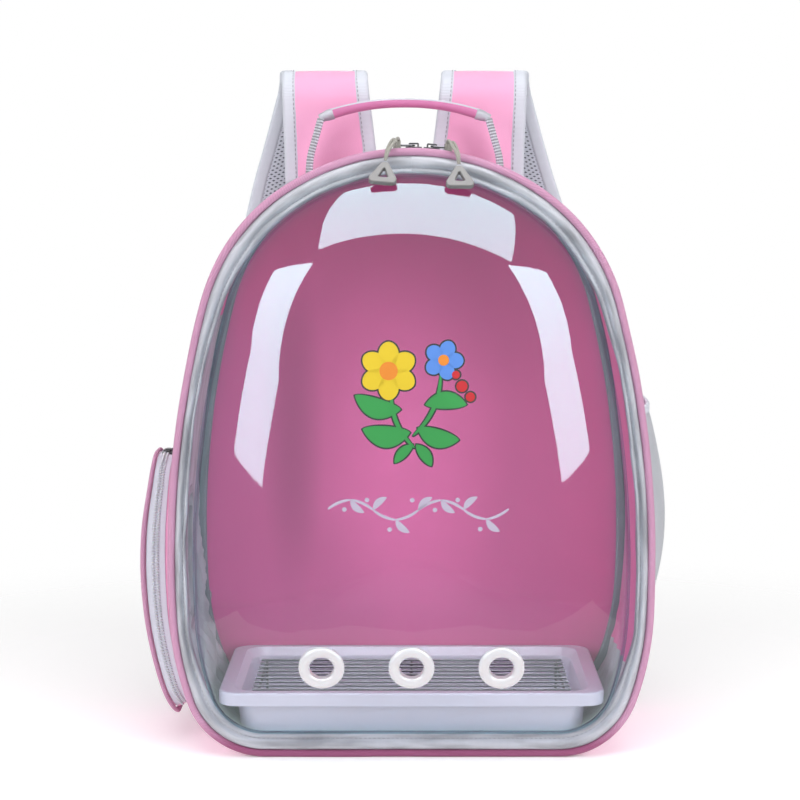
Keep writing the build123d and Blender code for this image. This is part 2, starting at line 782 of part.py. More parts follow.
def adjuster_webbing():
    """From the anchor tab up inside the lock, over its middle bar and down as a tail."""
    y, level, r = strap_end_y, bar_levels[1], hairpin_radius
    foot = (strap_low_x, back_y + anchor_thickness + webbing_thickness / 2 + 2 * laid_gap, anchor_height + 12)
    knee = (strap_low_x, y - r, bar_levels[2] - 14)
    rise = FilletPolyline(foot, (foot[0], foot[1], foot[2] + 10), knee, (knee[0], knee[1], level), radius=12.0)
    turn = ThreePointArc(rise @ 1, (strap_low_x, y, level + r), (strap_low_x, y + r, level))
    tail = Line((strap_low_x, y + r, level), (strap_low_x, y + r, level - webbing_tail))
    return webbing_ribbon(Wire([*rise.edges(), turn, tail]))


def anchor_tab():
    """Folded triangle of fabric sewn into the lower corner of the back."""
    half, narrow = anchor_width / 2, webbing_width / 2 + 2
    outline = Polyline((strap_low_x - half, 0, anchor_height), (strap_low_x + half, 0, anchor_height),
                       (strap_low_x + narrow, 0, anchor_height + anchor_length),
                       (strap_low_x - narrow, 0, anchor_height + anchor_length),
                       (strap_low_x - half, 0, anchor_height))
    tab = Face(Wire(outline.edges())).translate((0, back_y + laid_gap, 0))
    return Solid.extrude(tab, Vector(0, anchor_thickness, 0))


# ---------------------------------------------------------------- side pockets
pocket_y = front_y + pocket_front + pocket_length / 2
pocket_z = pocket_bottom + pocket_height / 2
left_half = block((-2 * wide, 0), (-wide, wide), (-wide, 2 * wide))


def pocket_outline(grow):
    """Side view of the zip pocket, as a prism through the left wall."""
    plane = Plane(origin=(-2 * wide, pocket_y, pocket_z), x_dir=(0, 1, 0), z_dir=(1, 0, 0))
    shape = RectangleRounded(pocket_length + 2 * grow, pocket_height + 2 * grow, pocket_corner + grow)
    return extrude(plane * shape, 2 * wide)


def pocket_layer(outer_reach, inner_reach, grow_out, grow_in=None):
    """Part of the pocket between two distances from the bag's side."""
    layer = ring(-outer_reach, -inner_reach, front_y, back_y) & pocket_outline(grow_out)
    return layer if grow_in is None else layer - pocket_outline(grow_in)


def pocket_panel_piece():
    return pocket_layer(pocket_bulge, pocket_bulge - pocket_panel, 0)


def pocket_piping():
    return pocket_layer(pocket_bulge + 0.6, pocket_bulge - pocket_panel - 0.6, 2.8, 0.05)


def pocket_gusset():
    return pocket_layer(pocket_bulge - pocket_panel - 0.65, laid_gap, 0, -pocket_wall)


def pocket_teeth():
    """Front and top run of the pocket's zip, on the outside of its gusset."""
    start = pocket_teeth_from_body
    teeth = pocket_layer(start + pocket_teeth_width, start, pocket_teeth_height, 0.02)
    rear = block((-2 * wide, 0), (pocket_y + pocket_length / 2 - pocket_corner, wide), (-wide, 2 * wide))
    under = block((-2 * wide, 0), (-wide, wide), (-wide, pocket_bottom + pocket_corner))
    return teeth - rear - under


def side_x(z, reach):
    """How far the outline grown by reach stands from the middle at height z."""
    x, level = 0.0, body_height + reach
    for radius, start, end in arch_chain:
        r = radius + reach
        centre = (x - r * sin(radians(start)), level - r * cos(radians(start)))
        x, level = centre[0] + r * sin(radians(end)), centre[1] + r * cos(radians(end))
        if z >= level - 1e-9:
            return centre[0] + sqrt(max(r ** 2 - (z - centre[1]) ** 2, 0))
    return 0.0


pocket_top = pocket_bottom + pocket_height
pocket_slider_x = -side_x(pocket_top, pocket_teeth_from_body + pocket_teeth_width / 2)
pocket_slider_y = pocket_y - pocket_length / 2 + pocket_corner + slider_length / 2


def pocket_slider():
    """Slider and flat pull on the top run of the pocket's zip."""
    low = pocket_top + pocket_teeth_height + sewn_gap
    x = (pocket_slider_x - slider_width / 2, pocket_slider_x + slider_width / 2)
    y = (pocket_slider_y - slider_length / 2, pocket_slider_y + slider_length / 2)
    plate = fillet(block(x, y, (low, low + slider_plate)).edges().filter_by(Axis.Z), 2.0)
    roof = ring_wire + 2 * laid_gap + bail_roof
    top = low + slider_plate
    bail_x = (pocket_slider_x - bail_width / 2, pocket_slider_x + bail_width / 2)
    bail = block(bail_x, (pocket_slider_y - bail_length / 2, pocket_slider_y + bail_length / 2), (top, top + roof))
    inside = bail_length / 2 - bail_leg
    bail -= block((-2 * wide, 0), (pocket_slider_y - inside, pocket_slider_y + inside),
                  (top, top + ring_wire + 2 * laid_gap))
    return plate + bail


def pocket_pull():
    """Wire ring of the pocket's slider, lying back along the zip."""
    level = pocket_top + pocket_teeth_height + sewn_gap + slider_plate + ring_wire / 2 + laid_gap
    centre_y = pocket_slider_y + ring_length / 2 - ring_inner_x
    outline = SlotOverall(ring_length - ring_wire, ring_width - ring_wire, rotation=90)
    return tube((Plane(origin=(pocket_slider_x, centre_y, level)) * outline).wire(), ring_wire / 2)


mesh_top = mesh_pocket_bottom + mesh_pocket_height
mesh_front_y = front_y + mesh_pocket_front


def mesh_segment(shrink, y_front, y_back):
    """Space between the bag's right side and the bulged mesh sheet."""
    low_x, high_x = side_x(mesh_pocket_bottom, laid_gap), side_x(mesh_top, mesh_pocket_mouth)
    middle_z = mesh_pocket_bottom + mesh_pocket_height * 0.5
    bulge_x = side_x(middle_z, mesh_pocket_bulge)
    edges = [ThreePointArc((low_x - shrink, y_front, mesh_pocket_bottom), (bulge_x - shrink, y_front, middle_z),
                           (high_x - shrink, y_front, mesh_top)),
             Line((high_x - shrink, y_front, mesh_top), (side_x(mesh_top, -20), y_front, mesh_top)),
             Line((side_x(mesh_top, -20), y_front, mesh_top), (low_x - 20, y_front, mesh_pocket_bottom)),
             Line((low_x - 20, y_front, mesh_pocket_bottom), (low_x - shrink, y_front, mesh_pocket_bottom))]
    whole = Solid.extrude(Face(Wire(edges)), Vector(0, y_back - y_front, 0))
    return whole - slab(-laid_gap, front_y, back_y)


def mesh_pocket():
    """Mesh sheet and its two gathered ends; open at the top."""
    y_back = mesh_front_y + mesh_pocket_length
    inside = mesh_segment(mesh_pocket_sheet, mesh_front_y + mesh_pocket_sheet, y_back - mesh_pocket_sheet)
    return mesh_segment(0, mesh_front_y, y_back) - inside


def mesh_pocket_hem():
    """Elastic hem bound over the mouth of the mesh pocket."""
    outer_x = side_x(mesh_top, mesh_pocket_mouth) + (hem_thickness - mesh_pocket_sheet) / 2
    hem = block((outer_x - hem_thickness, outer_x), (mesh_front_y, mesh_front_y + mesh_pocket_length),
                (mesh_top + 0.05, mesh_top + 0.05 + hem_width))
    return fillet(hem.edges().filter_by(Axis.Y), 1.2)


# ---------------------------------------------------------------- write every node
def mirrored(shape):
    return mirror(shape, Plane.YZ)


dome = dome_shell()
nodes = {
    "gusset_panel": gusset_panel(),
    "gusset_lining": gusset_lining(),
    "left_window_mesh": left_window_mesh(),
    "back_panel": back_panel(),
    "back_piping": back_piping(),
    "inner_binding": inner_binding(),
    "base_panel": base_panel(),
    "base_board": base_board(),
    "floor_liner": floor_liner(),
    "body_zip_tape": zip_tape(zip_y + teeth_spacing / 2 + teeth_width, gusset_front_y),
    "body_zip_teeth": teeth_row(zip_y + teeth_spacing / 2),
    "door_zip_tape": zip_tape(fixed_front_y, zip_y - teeth_spacing / 2 - teeth_width),
    "door_zip_teeth": teeth_row(zip_y - teeth_spacing / 2 - teeth_width),
    "front_piping": front_piping(),
    "dome_binding": dome_binding(),
    "clear_dome": dome,
    "dropping_tray": tray(),
    "standing_grid": long_wires(),
    "grid_cross_wires": cross_wires(),
    "handle_grip": handle_grip(),
    "zip_pocket_panel": pocket_panel_piece(),
    "zip_pocket_piping": pocket_piping(),
    "zip_pocket_gusset": pocket_gusset(),
    "zip_pocket_teeth": pocket_teeth(),
    "zip_pocket_slider": pocket_slider(),
    "zip_pocket_pull": pocket_pull(),
    "mesh_pocket": mesh_pocket(),
    "mesh_pocket_hem": mesh_pocket_hem(),
}
for side, plane in eyelet_planes.items():
    nodes[f"vent_eyelet_{side}"] = eyelet(plane, dome)
nodes["eyelet_washers"] = Compound([eyelet_washer(plane, dome) for plane in eyelet_planes.values()])

right_strap = {"strap_pad": strap_pad(), "strap_binding": strap_edges(), "strap_end_loop": strap_end_loop(),
               "ladder_lock": ladder_lock(), "adjuster_webbing": adjuster_webbing(), "anchor_tab": anchor_tab()}
for side, way in (("left", -1), ("right", 1)):
    for name, shape in right_strap.items():
        nodes[f"{name}_{side}"] = shape if way > 0 else mirrored(shape)
    nodes[f"back_pad_{side}"] = back_pad(way)
    nodes[f"handle_wrap_{side}"] = handle_wrap(way)
    nodes[f"handle_webbing_{side}"] = handle_leg(way)
    for name, maker in (("zip_slider", slider), ("slider_ring", wire_ring),
                        ("cord_knot", cord_knot), ("pull_cord", pull_cord), ("pull_tab", pull_tab)):
        nodes[f"{name}_{side}"] = on_arc(maker(way), slider_angles[side])

os.makedirs("parts", exist_ok=True)
for name, shape in nodes.items():
    export_step(shape, f"parts/{name}.step")
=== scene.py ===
import math

import bmesh
import bpy
import numpy as np
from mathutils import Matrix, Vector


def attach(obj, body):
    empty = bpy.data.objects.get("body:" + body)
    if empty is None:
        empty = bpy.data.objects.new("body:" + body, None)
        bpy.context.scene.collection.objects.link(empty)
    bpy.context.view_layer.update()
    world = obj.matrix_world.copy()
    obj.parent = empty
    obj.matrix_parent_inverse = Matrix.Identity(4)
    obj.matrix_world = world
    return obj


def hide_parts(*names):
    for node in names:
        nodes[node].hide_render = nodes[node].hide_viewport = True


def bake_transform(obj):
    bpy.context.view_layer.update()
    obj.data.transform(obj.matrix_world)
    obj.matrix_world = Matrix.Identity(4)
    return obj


# %% [markdown]
# # A clear-domed bird backpack, dressed piece by piece
# The CAD model is already the right size and already moves. This script gives it its looks.
# Hard parts keep their CAD mesh and get a finish. Soft parts get a new surface, because cloth
# is never as flat as a plain solid. Shapes are worked out in millimetres with numpy arrays and
# turned into metres in one place. +X is right, +Z is up, and -Y points out of the dome.

# %% Load the frame
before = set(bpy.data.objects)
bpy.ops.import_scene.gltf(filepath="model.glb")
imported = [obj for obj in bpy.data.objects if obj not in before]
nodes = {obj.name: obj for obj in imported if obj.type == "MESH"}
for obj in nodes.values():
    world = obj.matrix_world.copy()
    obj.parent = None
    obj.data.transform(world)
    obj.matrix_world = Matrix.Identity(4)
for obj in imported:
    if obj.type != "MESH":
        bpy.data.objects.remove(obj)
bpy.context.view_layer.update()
MM = 0.001

# %% [markdown]
# ## Colours and shader nodes
# Colours are written as sRGB hex, as one reads them off a colour card, and shaders want linear
# light, so one function converts them. A second one adds a node and fills its sockets, which
# keeps every recipe below short. A third chains maths nodes.

# %% Colour and node helpers
def colour(code):
    """Linear RGBA from an sRGB hex code: a straight slope near black, a 2.4 power above."""
    s = np.array([int(code[i:i + 2], 16) / 255 for i in (0, 2, 4)])
    return (*np.where(s <= 0.04045, s / 12.92, ((s + 0.055) / 1.055) ** 2.4), 1.0)


def add(tree, kind, sockets=None, **settings):
    """Adds one node; sockets are set to a value or linked if given another node's socket."""
    made = tree.nodes.new("ShaderNode" + kind)
    for key, value in settings.items():
        setattr(made, key, value)
    for key, value in (sockets or {}).items():
        if isinstance(value, bpy.types.NodeSocket):
            tree.links.new(value, made.inputs[key])
        else:
            made.inputs[key].default_value = value
    return made


def maths(tree, operation, *values):
    """The output of a Math node on up to three numbers or sockets."""
    return add(tree, "Math", dict(enumerate(values)), operation=operation).outputs[0]


def new_material(name):
    """An empty material and its node tree."""
    material = bpy.data.materials.new(name)
    material.use_nodes = True
    material.node_tree.nodes.clear()
    return material, material.node_tree


def finish_material(tree, shader):
    """Joins the last shader node to the material's output."""
    add(tree, "OutputMaterial", {"Surface": shader.outputs[0]})


def mixed(tree, share, first, second):
    """The first shader where the share is 0, the second where it is 1."""
    return add(tree, "MixShader", {0: share, 1: first.outputs[0], 2: second.outputs[0]})


def object_place(tree):
    """The Object coordinates of the point that is shaded, in metres."""
    return add(tree, "TexCoord").outputs["Object"]


def object_axes(tree):
    """The same point's x, y and z as three sockets."""
    return add(tree, "SeparateXYZ", {0: object_place(tree)}).outputs


def linked(name, data):
    """A new object with this data, put into the scene at its origin."""
    made = bpy.data.objects.new(name, data)
    bpy.context.scene.collection.objects.link(made)
    return made


print("white is", [round(c, 3) for c in colour("FFFFFF")])

# %% [markdown]
# ## Cloth
# Real cloth shows three scales: threads well under a millimetre, a slight unevenness of the dye
# over some centimetres, and soft rumples. Threads follow the piece, so they read its own UV map,
# which is laid out in metres. Rumples don't need to, so they read Object coordinates.
# Each weave below is a height made of sines; the height drives both the bump and the shade
# between threads.

# %% Weaves
def thread_axes(tree):
    """Distance along and across the cloth, in millimetres, from its UV map in metres."""
    uv = add(tree, "SeparateXYZ", {0: add(tree, "UVMap", uv_map="cloth").outputs[0]})
    return [maths(tree, "MULTIPLY", uv.outputs[i], 1000.0) for i in (0, 1)]


def wave(tree, distance, pitch):
    """A sine that rises and falls once in each pitch."""
    return maths(tree, "SINE", maths(tree, "MULTIPLY", distance, 2 * math.pi / pitch))


def crossed(tree, pitch, axes=thread_axes, lean=1.0):
    """Two diagonal waves: sines of along + lean * across and of along - lean * across."""
    along, across = axes(tree)
    across = maths(tree, "MULTIPLY", across, lean)
    return [wave(tree, maths(tree, kind, along, across), pitch) for kind in ("ADD", "SUBTRACT")]


def plain_weave(tree, pitch):
    """Over and under: the product of a sine along and a sine across."""
    along, across = thread_axes(tree)
    return maths(tree, "MULTIPLY", wave(tree, along, pitch), wave(tree, across, pitch))


def twill(tree, pitch):
    """Diagonal ribs: a sine of the sum of both distances, with the threads cut across it."""
    along, across = thread_axes(tree)
    ribs = wave(tree, maths(tree, "ADD", along, across), pitch)
    return maths(tree, "MULTIPLY_ADD", wave(tree, along, pitch * 0.5), 0.35, ribs)


def grosgrain(tree, pitch):
    """Fine ribs straight across a tape: a sine of the distance along it."""
    along, across = thread_axes(tree)
    return maths(tree, "MULTIPLY_ADD", wave(tree, across, pitch * 0.6), 0.25, wave(tree, along, pitch))


def herringbone(tree, pitch, stripe=3.2):
    """Diagonals that change direction in each stripe across the webbing."""
    along, across = thread_axes(tree)
    zigzag = maths(tree, "PINGPONG", across, stripe)
    return wave(tree, maths(tree, "MULTIPLY_ADD", zigzag, 1.2, along), pitch)


def cloth(name, hex_colour, weave, pitch, dark=0.82, bump=0.10, rumple=0.5, rumple_size=30.0,
          roughness=0.78, sheen=0.12, shade_noise=0.05, stretch=(1, 1, 1), shade=0.0, along_piece=False,
          foot=None, painted_light_patches=()):
    """A dyed cloth: thread height, uneven dye and soft rumples around one colour.

    stretch draws the rumples out into folds, shade is how much painted shade darkens their hollows,
    along_piece lays them along the piece's own length, and foot is (colour, height) of painted shade near the ground.
    painted_light_patches are (x, z, half width, half height, gain) of soft patches of painted light, where the gain
    is above 0, and painted shade, where it is below.
    """
    material, tree = new_material(name)
    height = weave(tree, pitch)
    place = object_place(tree)
    dye = add(tree, "TexNoise", {"Vector": place, "Scale": 14.0, "Detail": 3.0, "Roughness": 0.6})
    laid = place
    if along_piece:
        metres = [maths(tree, "MULTIPLY", distance, MM) for distance in thread_axes(tree)]
        laid = add(tree, "CombineXYZ", dict(enumerate(metres))).outputs[0]
    laid = add(tree, "Mapping", {"Vector": laid, "Scale": stretch}).outputs[0]
    soft = add(tree, "TexNoise", {"Vector": laid, "Scale": 1000.0 / rumple_size, "Detail": 2.0})
    # Painted shade: the cloth is darkened in the hollows of its rumples, by the share shade.
    painted_fold_shade = add(tree, "MapRange", {"Value": soft.outputs["Fac"], "From Min": 0.36, "From Max": 0.6,
                                    "To Min": 1 - shade}).outputs[0]
    level = maths(tree, "MULTIPLY_ADD", height, (1 - dark) / 2, (1 + dark) / 2)
    level = maths(tree, "MULTIPLY", level,
                  maths(tree, "MULTIPLY_ADD", dye.outputs["Fac"], 2 * shade_noise, 1 - shade_noise))
    level = maths(tree, "MULTIPLY", level, painted_fold_shade)
    at = add(tree, "SeparateXYZ", {0: place}).outputs
    # Painted light and shade: each patch lightens or darkens the cloth in a soft oval.
    for x, z, wide, tall, gain in painted_light_patches:
        away = [maths(tree, "ABSOLUTE", maths(tree, "MULTIPLY_ADD", at[axis], 1000 / half, -middle / half))
                for axis, middle, half in ((0, x, wide), (2, z, tall))]
        near = maths(tree, "SUBTRACT", 1.0, maths(tree, "ADD", *[maths(tree, "POWER", a, 2.0) for a in away]))
        near = maths(tree, "POWER", maths(tree, "MAXIMUM", near, 0.0), 1.5)
        level = maths(tree, "MULTIPLY", level, maths(tree, "MULTIPLY_ADD", near, gain, 1.0))
    tone = colour(hex_colour)
    # Painted shade: the colour deepens towards the foot colour below the given height, where the cloth faces the
    # floor.
    if foot:
        up = add(tree, "MapRange", {"Value": at[2], "From Min": 0.3 * foot[1] * MM,
                                    "From Max": foot[1] * MM}).outputs[0]
        tone = add(tree, "Mix", {0: up, 6: colour(foot[0]), 7: tone}, data_type="RGBA").outputs[2]
    base = add(tree, "Mix", {0: 1.0, 6: tone, 7: level}, data_type="RGBA", blend_type="MULTIPLY")
    threads = add(tree, "Bump", {"Height": height, "Distance": bump * MM, "Strength": 0.7})
    folds = add(tree, "Bump", {"Height": soft.outputs["Fac"], "Distance": rumple * MM, "Strength": 0.5,
                               "Normal": threads.outputs[0]})
    rough = maths(tree, "MULTIPLY_ADD", height, -0.06, roughness)
    skin = add(tree, "BsdfPrincipled", {"Base Color": base.outputs[2], "Roughness": rough,
                                        "Normal": folds.outputs[0], "Sheen Weight": sheen,
                                        "Sheen Roughness": 0.45, "Specular IOR Level": 0.25})
    finish_material(tree, skin)
    return material


pink_oxford = cloth("pink oxford cloth", "F4B0D3", plain_weave, 0.62)
# Its patches paint the light and shade of the padded back panel: a lighter middle, a darker stripe on the left and a
# little shade high on the right.
# The lining's deeper pink is partly its own colour and partly painted shade and bounced pink light inside the bag.
pink_lining = cloth("pink lining cloth", "E973B1", plain_weave, 0.5, dark=0.9, bump=0.05, rumple=1.2,
                    rumple_size=70, shade_noise=0.08,
                    painted_light_patches=((-5, 205, 85, 160, 0.3), (-90, 215, 26, 150, -0.28), (70, 330, 90, 110, -0.1)))
# The piping's foot paints shade on it below 26 mm, where it faces the floor.
pink_piping = cloth("pink piping twill", "CB97B6", twill, 1.5, dark=0.72, bump=0.16, rumple=0.3, roughness=0.7,
                    foot=("985579", 26.0))
pink_grip = cloth("pink grip twill", "C97BA6", twill, 1.1, bump=0.12, rumple=0.2)
# The band's streaks are painted shade: rumples drawn out along the band are darkened in their hollows.
grey_binding = cloth("pale grey satin binding", "BABCC4", grosgrain, 0.8, dark=0.86, bump=0.06,
                     rumple=2.4, rumple_size=7, roughness=0.36, sheen=0.05, stretch=(0.16, 1, 1), shade=0.42,
                     along_piece=True)
# The inner binding is the grey binding painted darker, as painted shade for the back of the bag where it lies; its
# folds are darkened too.
painted_shade_binding = cloth("shaded grey binding", "8C9199", grosgrain, 0.8, dark=0.86, bump=0.06, rumple=0.6,
                     rumple_size=12, roughness=0.4, stretch=(0.2, 1, 1), shade=0.2, along_piece=True)
grey_edge = cloth("grey grosgrain edging", "CDD1DA", grosgrain, 0.9, dark=0.88, bump=0.1, roughness=0.7)
# The lining's long vertical folds are darkened in their hollows: painted shade.
grey_lining = cloth("grey lining cloth", "C2C6CC", plain_weave, 0.5, dark=0.92, bump=0.05, rumple=5.0,
                    rumple_size=16, roughness=0.5, stretch=(1, 1, 0.3), shade=0.32)
# The floor liner takes a little painted shade in the hollows of its rumples.
floor_cloth = cloth("grey floor cloth", "B4B8C0", plain_weave, 0.5, dark=0.92, bump=0.05, rumple=1.6,
                    rumple_size=26, roughness=0.6, shade=0.06)
zip_tape_cloth = cloth("grey zip tape", "D3D5E0", grosgrain, 0.9, dark=0.85, bump=0.08)
print("cloths:", len(bpy.data.materials))

# %% [markdown]
# ## Plastic, metal and rubber
# Moulded plastic isn't perfectly even: its gloss wanders and its surface is faintly pebbled or
# streaked. Both come from noise on Object coordinates, so they stay put on the piece.
# Drawn wire has marks along its length, and cast metal is slightly cloudy.

# %% Hard finishes
def moulded(name, hex_colour, roughness, grain=0.35, bump=0.02, mottling=0.03, specular=0.5,
            metallic=0.0, stretch=(1, 1, 1), translucent=0.0):
    """A plastic or metal whose gloss and shade wander a little with noise of a given grain in mm."""
    material, tree = new_material(name)
    place = add(tree, "Mapping", {"Vector": object_place(tree), "Scale": stretch})
    fine = add(tree, "TexNoise", {"Vector": place.outputs[0], "Scale": 1000.0 / grain, "Detail": 2.0})
    broad = add(tree, "TexNoise", {"Vector": place.outputs[0], "Scale": 45.0, "Detail": 3.0})
    level = maths(tree, "MULTIPLY_ADD", broad.outputs["Fac"], 2 * mottling, 1 - mottling)
    base = add(tree, "Mix", {0: 1.0, 6: colour(hex_colour), 7: level}, data_type="RGBA", blend_type="MULTIPLY")
    rough = maths(tree, "MULTIPLY_ADD", broad.outputs["Fac"], 0.12, roughness - 0.06)
    pebbles = add(tree, "Bump", {"Height": fine.outputs["Fac"], "Distance": bump * MM, "Strength": 0.6})
    skin = add(tree, "BsdfPrincipled", {"Base Color": base.outputs[2], "Roughness": rough,
                                        "Normal": pebbles.outputs[0], "Metallic": metallic,
                                        "Specular IOR Level": specular,
                                        "Subsurface Weight": translucent, "Subsurface Scale": 0.002})
    finish_material(tree, skin)
    return material


white_plastic = moulded("white glossy plastic", "C4C4C8", 0.3, mottling=0.015, translucent=0.1)
tray_plastic = moulded("lavender grey tray plastic", "CAC9D8", 0.38, grain=0.5, bump=0.015)
wire_steel = moulded("drawn steel wire", "5C5C60", 0.34, grain=0.2, metallic=1.0, stretch=(0.05, 1, 1))
gunmetal = moulded("gunmetal slider metal", "4A4A4C", 0.34, grain=0.6, metallic=1.0)
pull_rubber = moulded("soft grey pull rubber", "6F6E6D", 0.55, grain=0.4, bump=0.03, specular=0.3)
buckle_plastic = moulded("grey buckle plastic", "868A91", 0.42, grain=0.5, bump=0.02)
stiff_board = moulded("white stiffening board", "D6D6D4", 0.6, grain=1.0, bump=0.04)
print("hard finishes made")

# %% [markdown]
# ## Clear plastic
# The dome is a thin clear sheet. Bending light through its two close skins would cost a lot of
# samples and change almost nothing, so each skin lets light straight through, and mirrors
# the share that Fresnel's law gives: about 4 percent face on and much more at a grazing angle.
# The sheet is very slightly grey, more so where one looks along it.

# %% Clear sheet
def clear_sheet(name, hex_tint, hex_edge, haze):
    """Straight-through light mixed with a mirror, plus a little milky haze.

    The mirror's share is Schlick's rule, f + (1 - f) (1 - cos a)^5. Only the skin that is met
    from outside mirrors, since the two lie so close that the eye takes them for one.
    """
    material, tree = new_material(name)
    ripple = add(tree, "TexNoise", {"Vector": object_place(tree), "Scale": 9.0})
    swell = add(tree, "Bump", {"Height": ripple.outputs["Fac"], "Distance": 0.6 * MM, "Strength": 0.35})
    turned = add(tree, "LayerWeight", {"Blend": 0.5, "Normal": swell.outputs[0]}).outputs["Facing"]
    share = maths(tree, "MULTIPLY_ADD", maths(tree, "POWER", turned, 5.0), 0.96, 0.045)
    near = maths(tree, "SUBTRACT", 1.0, add(tree, "NewGeometry").outputs["Backfacing"])
    share = maths(tree, "MULTIPLY", share, near)
    tint = add(tree, "Mix", {0: maths(tree, "POWER", turned, 2.0), 6: colour(hex_tint), 7: colour(hex_edge)},
               data_type="RGBA")
    through = add(tree, "BsdfTransparent", {"Color": tint.outputs[2]})
    mirror = add(tree, "BsdfGlossy", {"Color": colour("C8F8FA"), "Roughness": 0.03, "Normal": swell.outputs[0]})
    milk = add(tree, "BsdfDiffuse", {"Color": colour("E9E9F2")})
    finish_material(tree, mixed(tree, share, mixed(tree, haze, through, milk), mirror))
    return material


clear_plastic = clear_sheet("clear dome plastic", "FBFBFC", "C9CCD8", 0.006)
print("clear sheet made")

# %% [markdown]
# ## One mesh maker
# Almost every soft piece here is a grid of points: one direction runs along the piece and the
# other round its section. This maker joins such a grid with quads, wraps it where it closes,
# caps open tubes, and lays a UV map in metres from the true distances between the points.

# %% Mesh maker
def lengths(points, axis):
    """Running distance along one direction of a grid of points, averaged over the other."""
    steps = np.linalg.norm(np.diff(points, axis=axis), axis=2).mean(axis=1 - axis)
    return np.concatenate([[0.0], np.cumsum(steps)])


def running(line):
    """Distance run at each point of a path, from 0."""
    return np.concatenate([[0.0], np.cumsum(np.linalg.norm(np.diff(line, axis=0), axis=1))])


def eased(count):
    """Scales from 0 in the middle to 1 at the rim that lie closer together towards the rim."""
    return np.sin(np.linspace(0.0, np.pi / 2, count))


def smoothstep(value, low, high):
    """0 below low and 1 above high, with the level slopes of 3 t^2 - 2 t^3 at both ends."""
    t = np.clip((value - low) / (high - low), 0, 1)
    return t ** 2 * (3 - 2 * t)


def bell(value, middle, width):
    """1 at the middle, falling off on both sides as exp(-t^2), with t counted in widths."""
    return np.exp(-((value - middle) / width) ** 2)


def there_and_back(front, back):
    """A closed section: out over one face of a sheet and back over the other."""
    return np.concatenate([front, back[:, ::-1]], 1)


def standing(flat, y):
    """Points (x, y, z) from pairs (x, z) and their depths."""
    return np.stack([flat[..., 0], np.broadcast_to(y, flat.shape[:-1]), flat[..., 1]], -1)


def from_faces(name, points, faces):
    """A mesh from corners in millimetres and faces that name them by number."""
    mesh = bpy.data.meshes.new(name)
    mesh.from_pydata((np.reshape(points, (-1, 3)) * MM).tolist(), [], faces)
    return mesh


def grid_mesh(name, points, closed=(False, True), caps=False, flip=False, keep=None):
    """A mesh from points[i, j] in millimetres; keep is an optional mask of the quads that stay."""
    nu, nv = points.shape[:2]
    i, j = np.meshgrid(np.arange(nu - (not closed[0])), np.arange(nv - (not closed[1])), indexing="ij")
    corners = [(i, j), (i + 1, j), (i + 1, j + 1), (i, j + 1)]
    if flip:
        corners.reverse()
    faces = np.stack([(a % nu) * nv + b % nv for a, b in corners], -1).reshape(-1, 4)
    wrapped = np.pad(points, [(0, int(closed[0])), (0, int(closed[1])), (0, 0)], mode="wrap")
    u, v = lengths(wrapped, 0), lengths(wrapped, 1)
    uv = np.stack([np.stack([u[a], v[b]], -1) for a, b in corners], -2).reshape(-1, 4, 2)
    if keep is not None:
        faces, uv = faces[keep.ravel()], uv[keep.ravel()]
    polygons, uv = faces.tolist(), uv.reshape(-1, 2)
    if caps:
        ring = np.arange(nv)
        ends = [ring, (nu - 1) * nv + ring[::-1]] if flip else [ring[::-1], (nu - 1) * nv + ring]
        polygons += [end.tolist() for end in ends]
        uv = np.vstack([uv, np.tile(uv[:1], (2 * nv, 1))])
    mesh = from_faces(name, points, polygons)
    mesh.uv_layers.new(name="cloth").data.foreach_set("uv", (uv * MM).ravel())
    mesh.polygons.foreach_set("use_smooth", np.ones(len(mesh.polygons), bool))
    mesh.update()
    return mesh


def piece(name, mesh, material, body, slot_name, *replaced):
    """An object at the origin that rides on a body, with its finish and the nodes it stands for.

    A piece given None for its body rides on no body. The makers below pass
    all of this on as *look: the material, the body, the slot's name, which is not used, and the nodes replaced.
    """
    made = linked(name, mesh)
    mesh.materials.append(material)
    if body:
        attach(made, body)
    if replaced:
        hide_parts(*replaced)
    return made


def backed(mesh, material, chosen):
    """A second finish for the faces whose centre, in metres, is chosen(x, y, z)."""
    mesh.materials.append(material)
    centres = np.array([p.center for p in mesh.polygons]).T
    mesh.polygons.foreach_set("material_index", chosen(*centres).astype(np.int32))


def crease(made, angle=35.0):
    """Edges sharper than this angle look sharp, so flat bands don't shade like pipes."""
    made.data.set_sharp_from_angle(angle=math.radians(angle))
    return made


def welded(made, rim_round_hole=False):
    """Joins points that share a place, such as a pole's, and turns the faces outward.

    Where an opening was cut through both faces of a sheet, a rim closes its edge.
    """
    work = bmesh.new()
    work.from_mesh(made.data)
    bmesh.ops.remove_doubles(work, verts=work.verts, dist=1e-6)
    if rim_round_hole:
        bmesh.ops.bridge_loops(work, edges=[edge for edge in work.edges if edge.is_boundary])
    bmesh.ops.recalc_face_normals(work, faces=work.faces)
    work.to_mesh(made.data)
    work.free()
    return made


def surface(name, points, *look, rim_round_hole=False, **shape):
    """A welded piece made from a grid of points; shape says how grid_mesh joins them."""
    return welded(piece(name, grid_mesh(name, points, **shape), *look), rim_round_hole)


print("mesh maker ready")

# %% [markdown]
# ## The bag's outline
# Seen from the front the bag is a chain of arcs that run smoothly into each other: top, shoulder,
# side, lower side, corner, then the flat base. On an arc of radius R whose heading turns from a
# to b, a point moves R (sin b - sin a) right and R (cos a - cos b) down. The way outward at
# heading a is (sin a, cos a), so an inset copy is each point moved back along it.

# %% Outline
SIZE = {"height": 420.0, "front": -77.5, "back": 77.5}
CHAIN = [(158.95, 0, 31), (138.0, 31, 75), (701.76, 75, 93), (212.0, 93, 109), (57.0, 109, 180)]


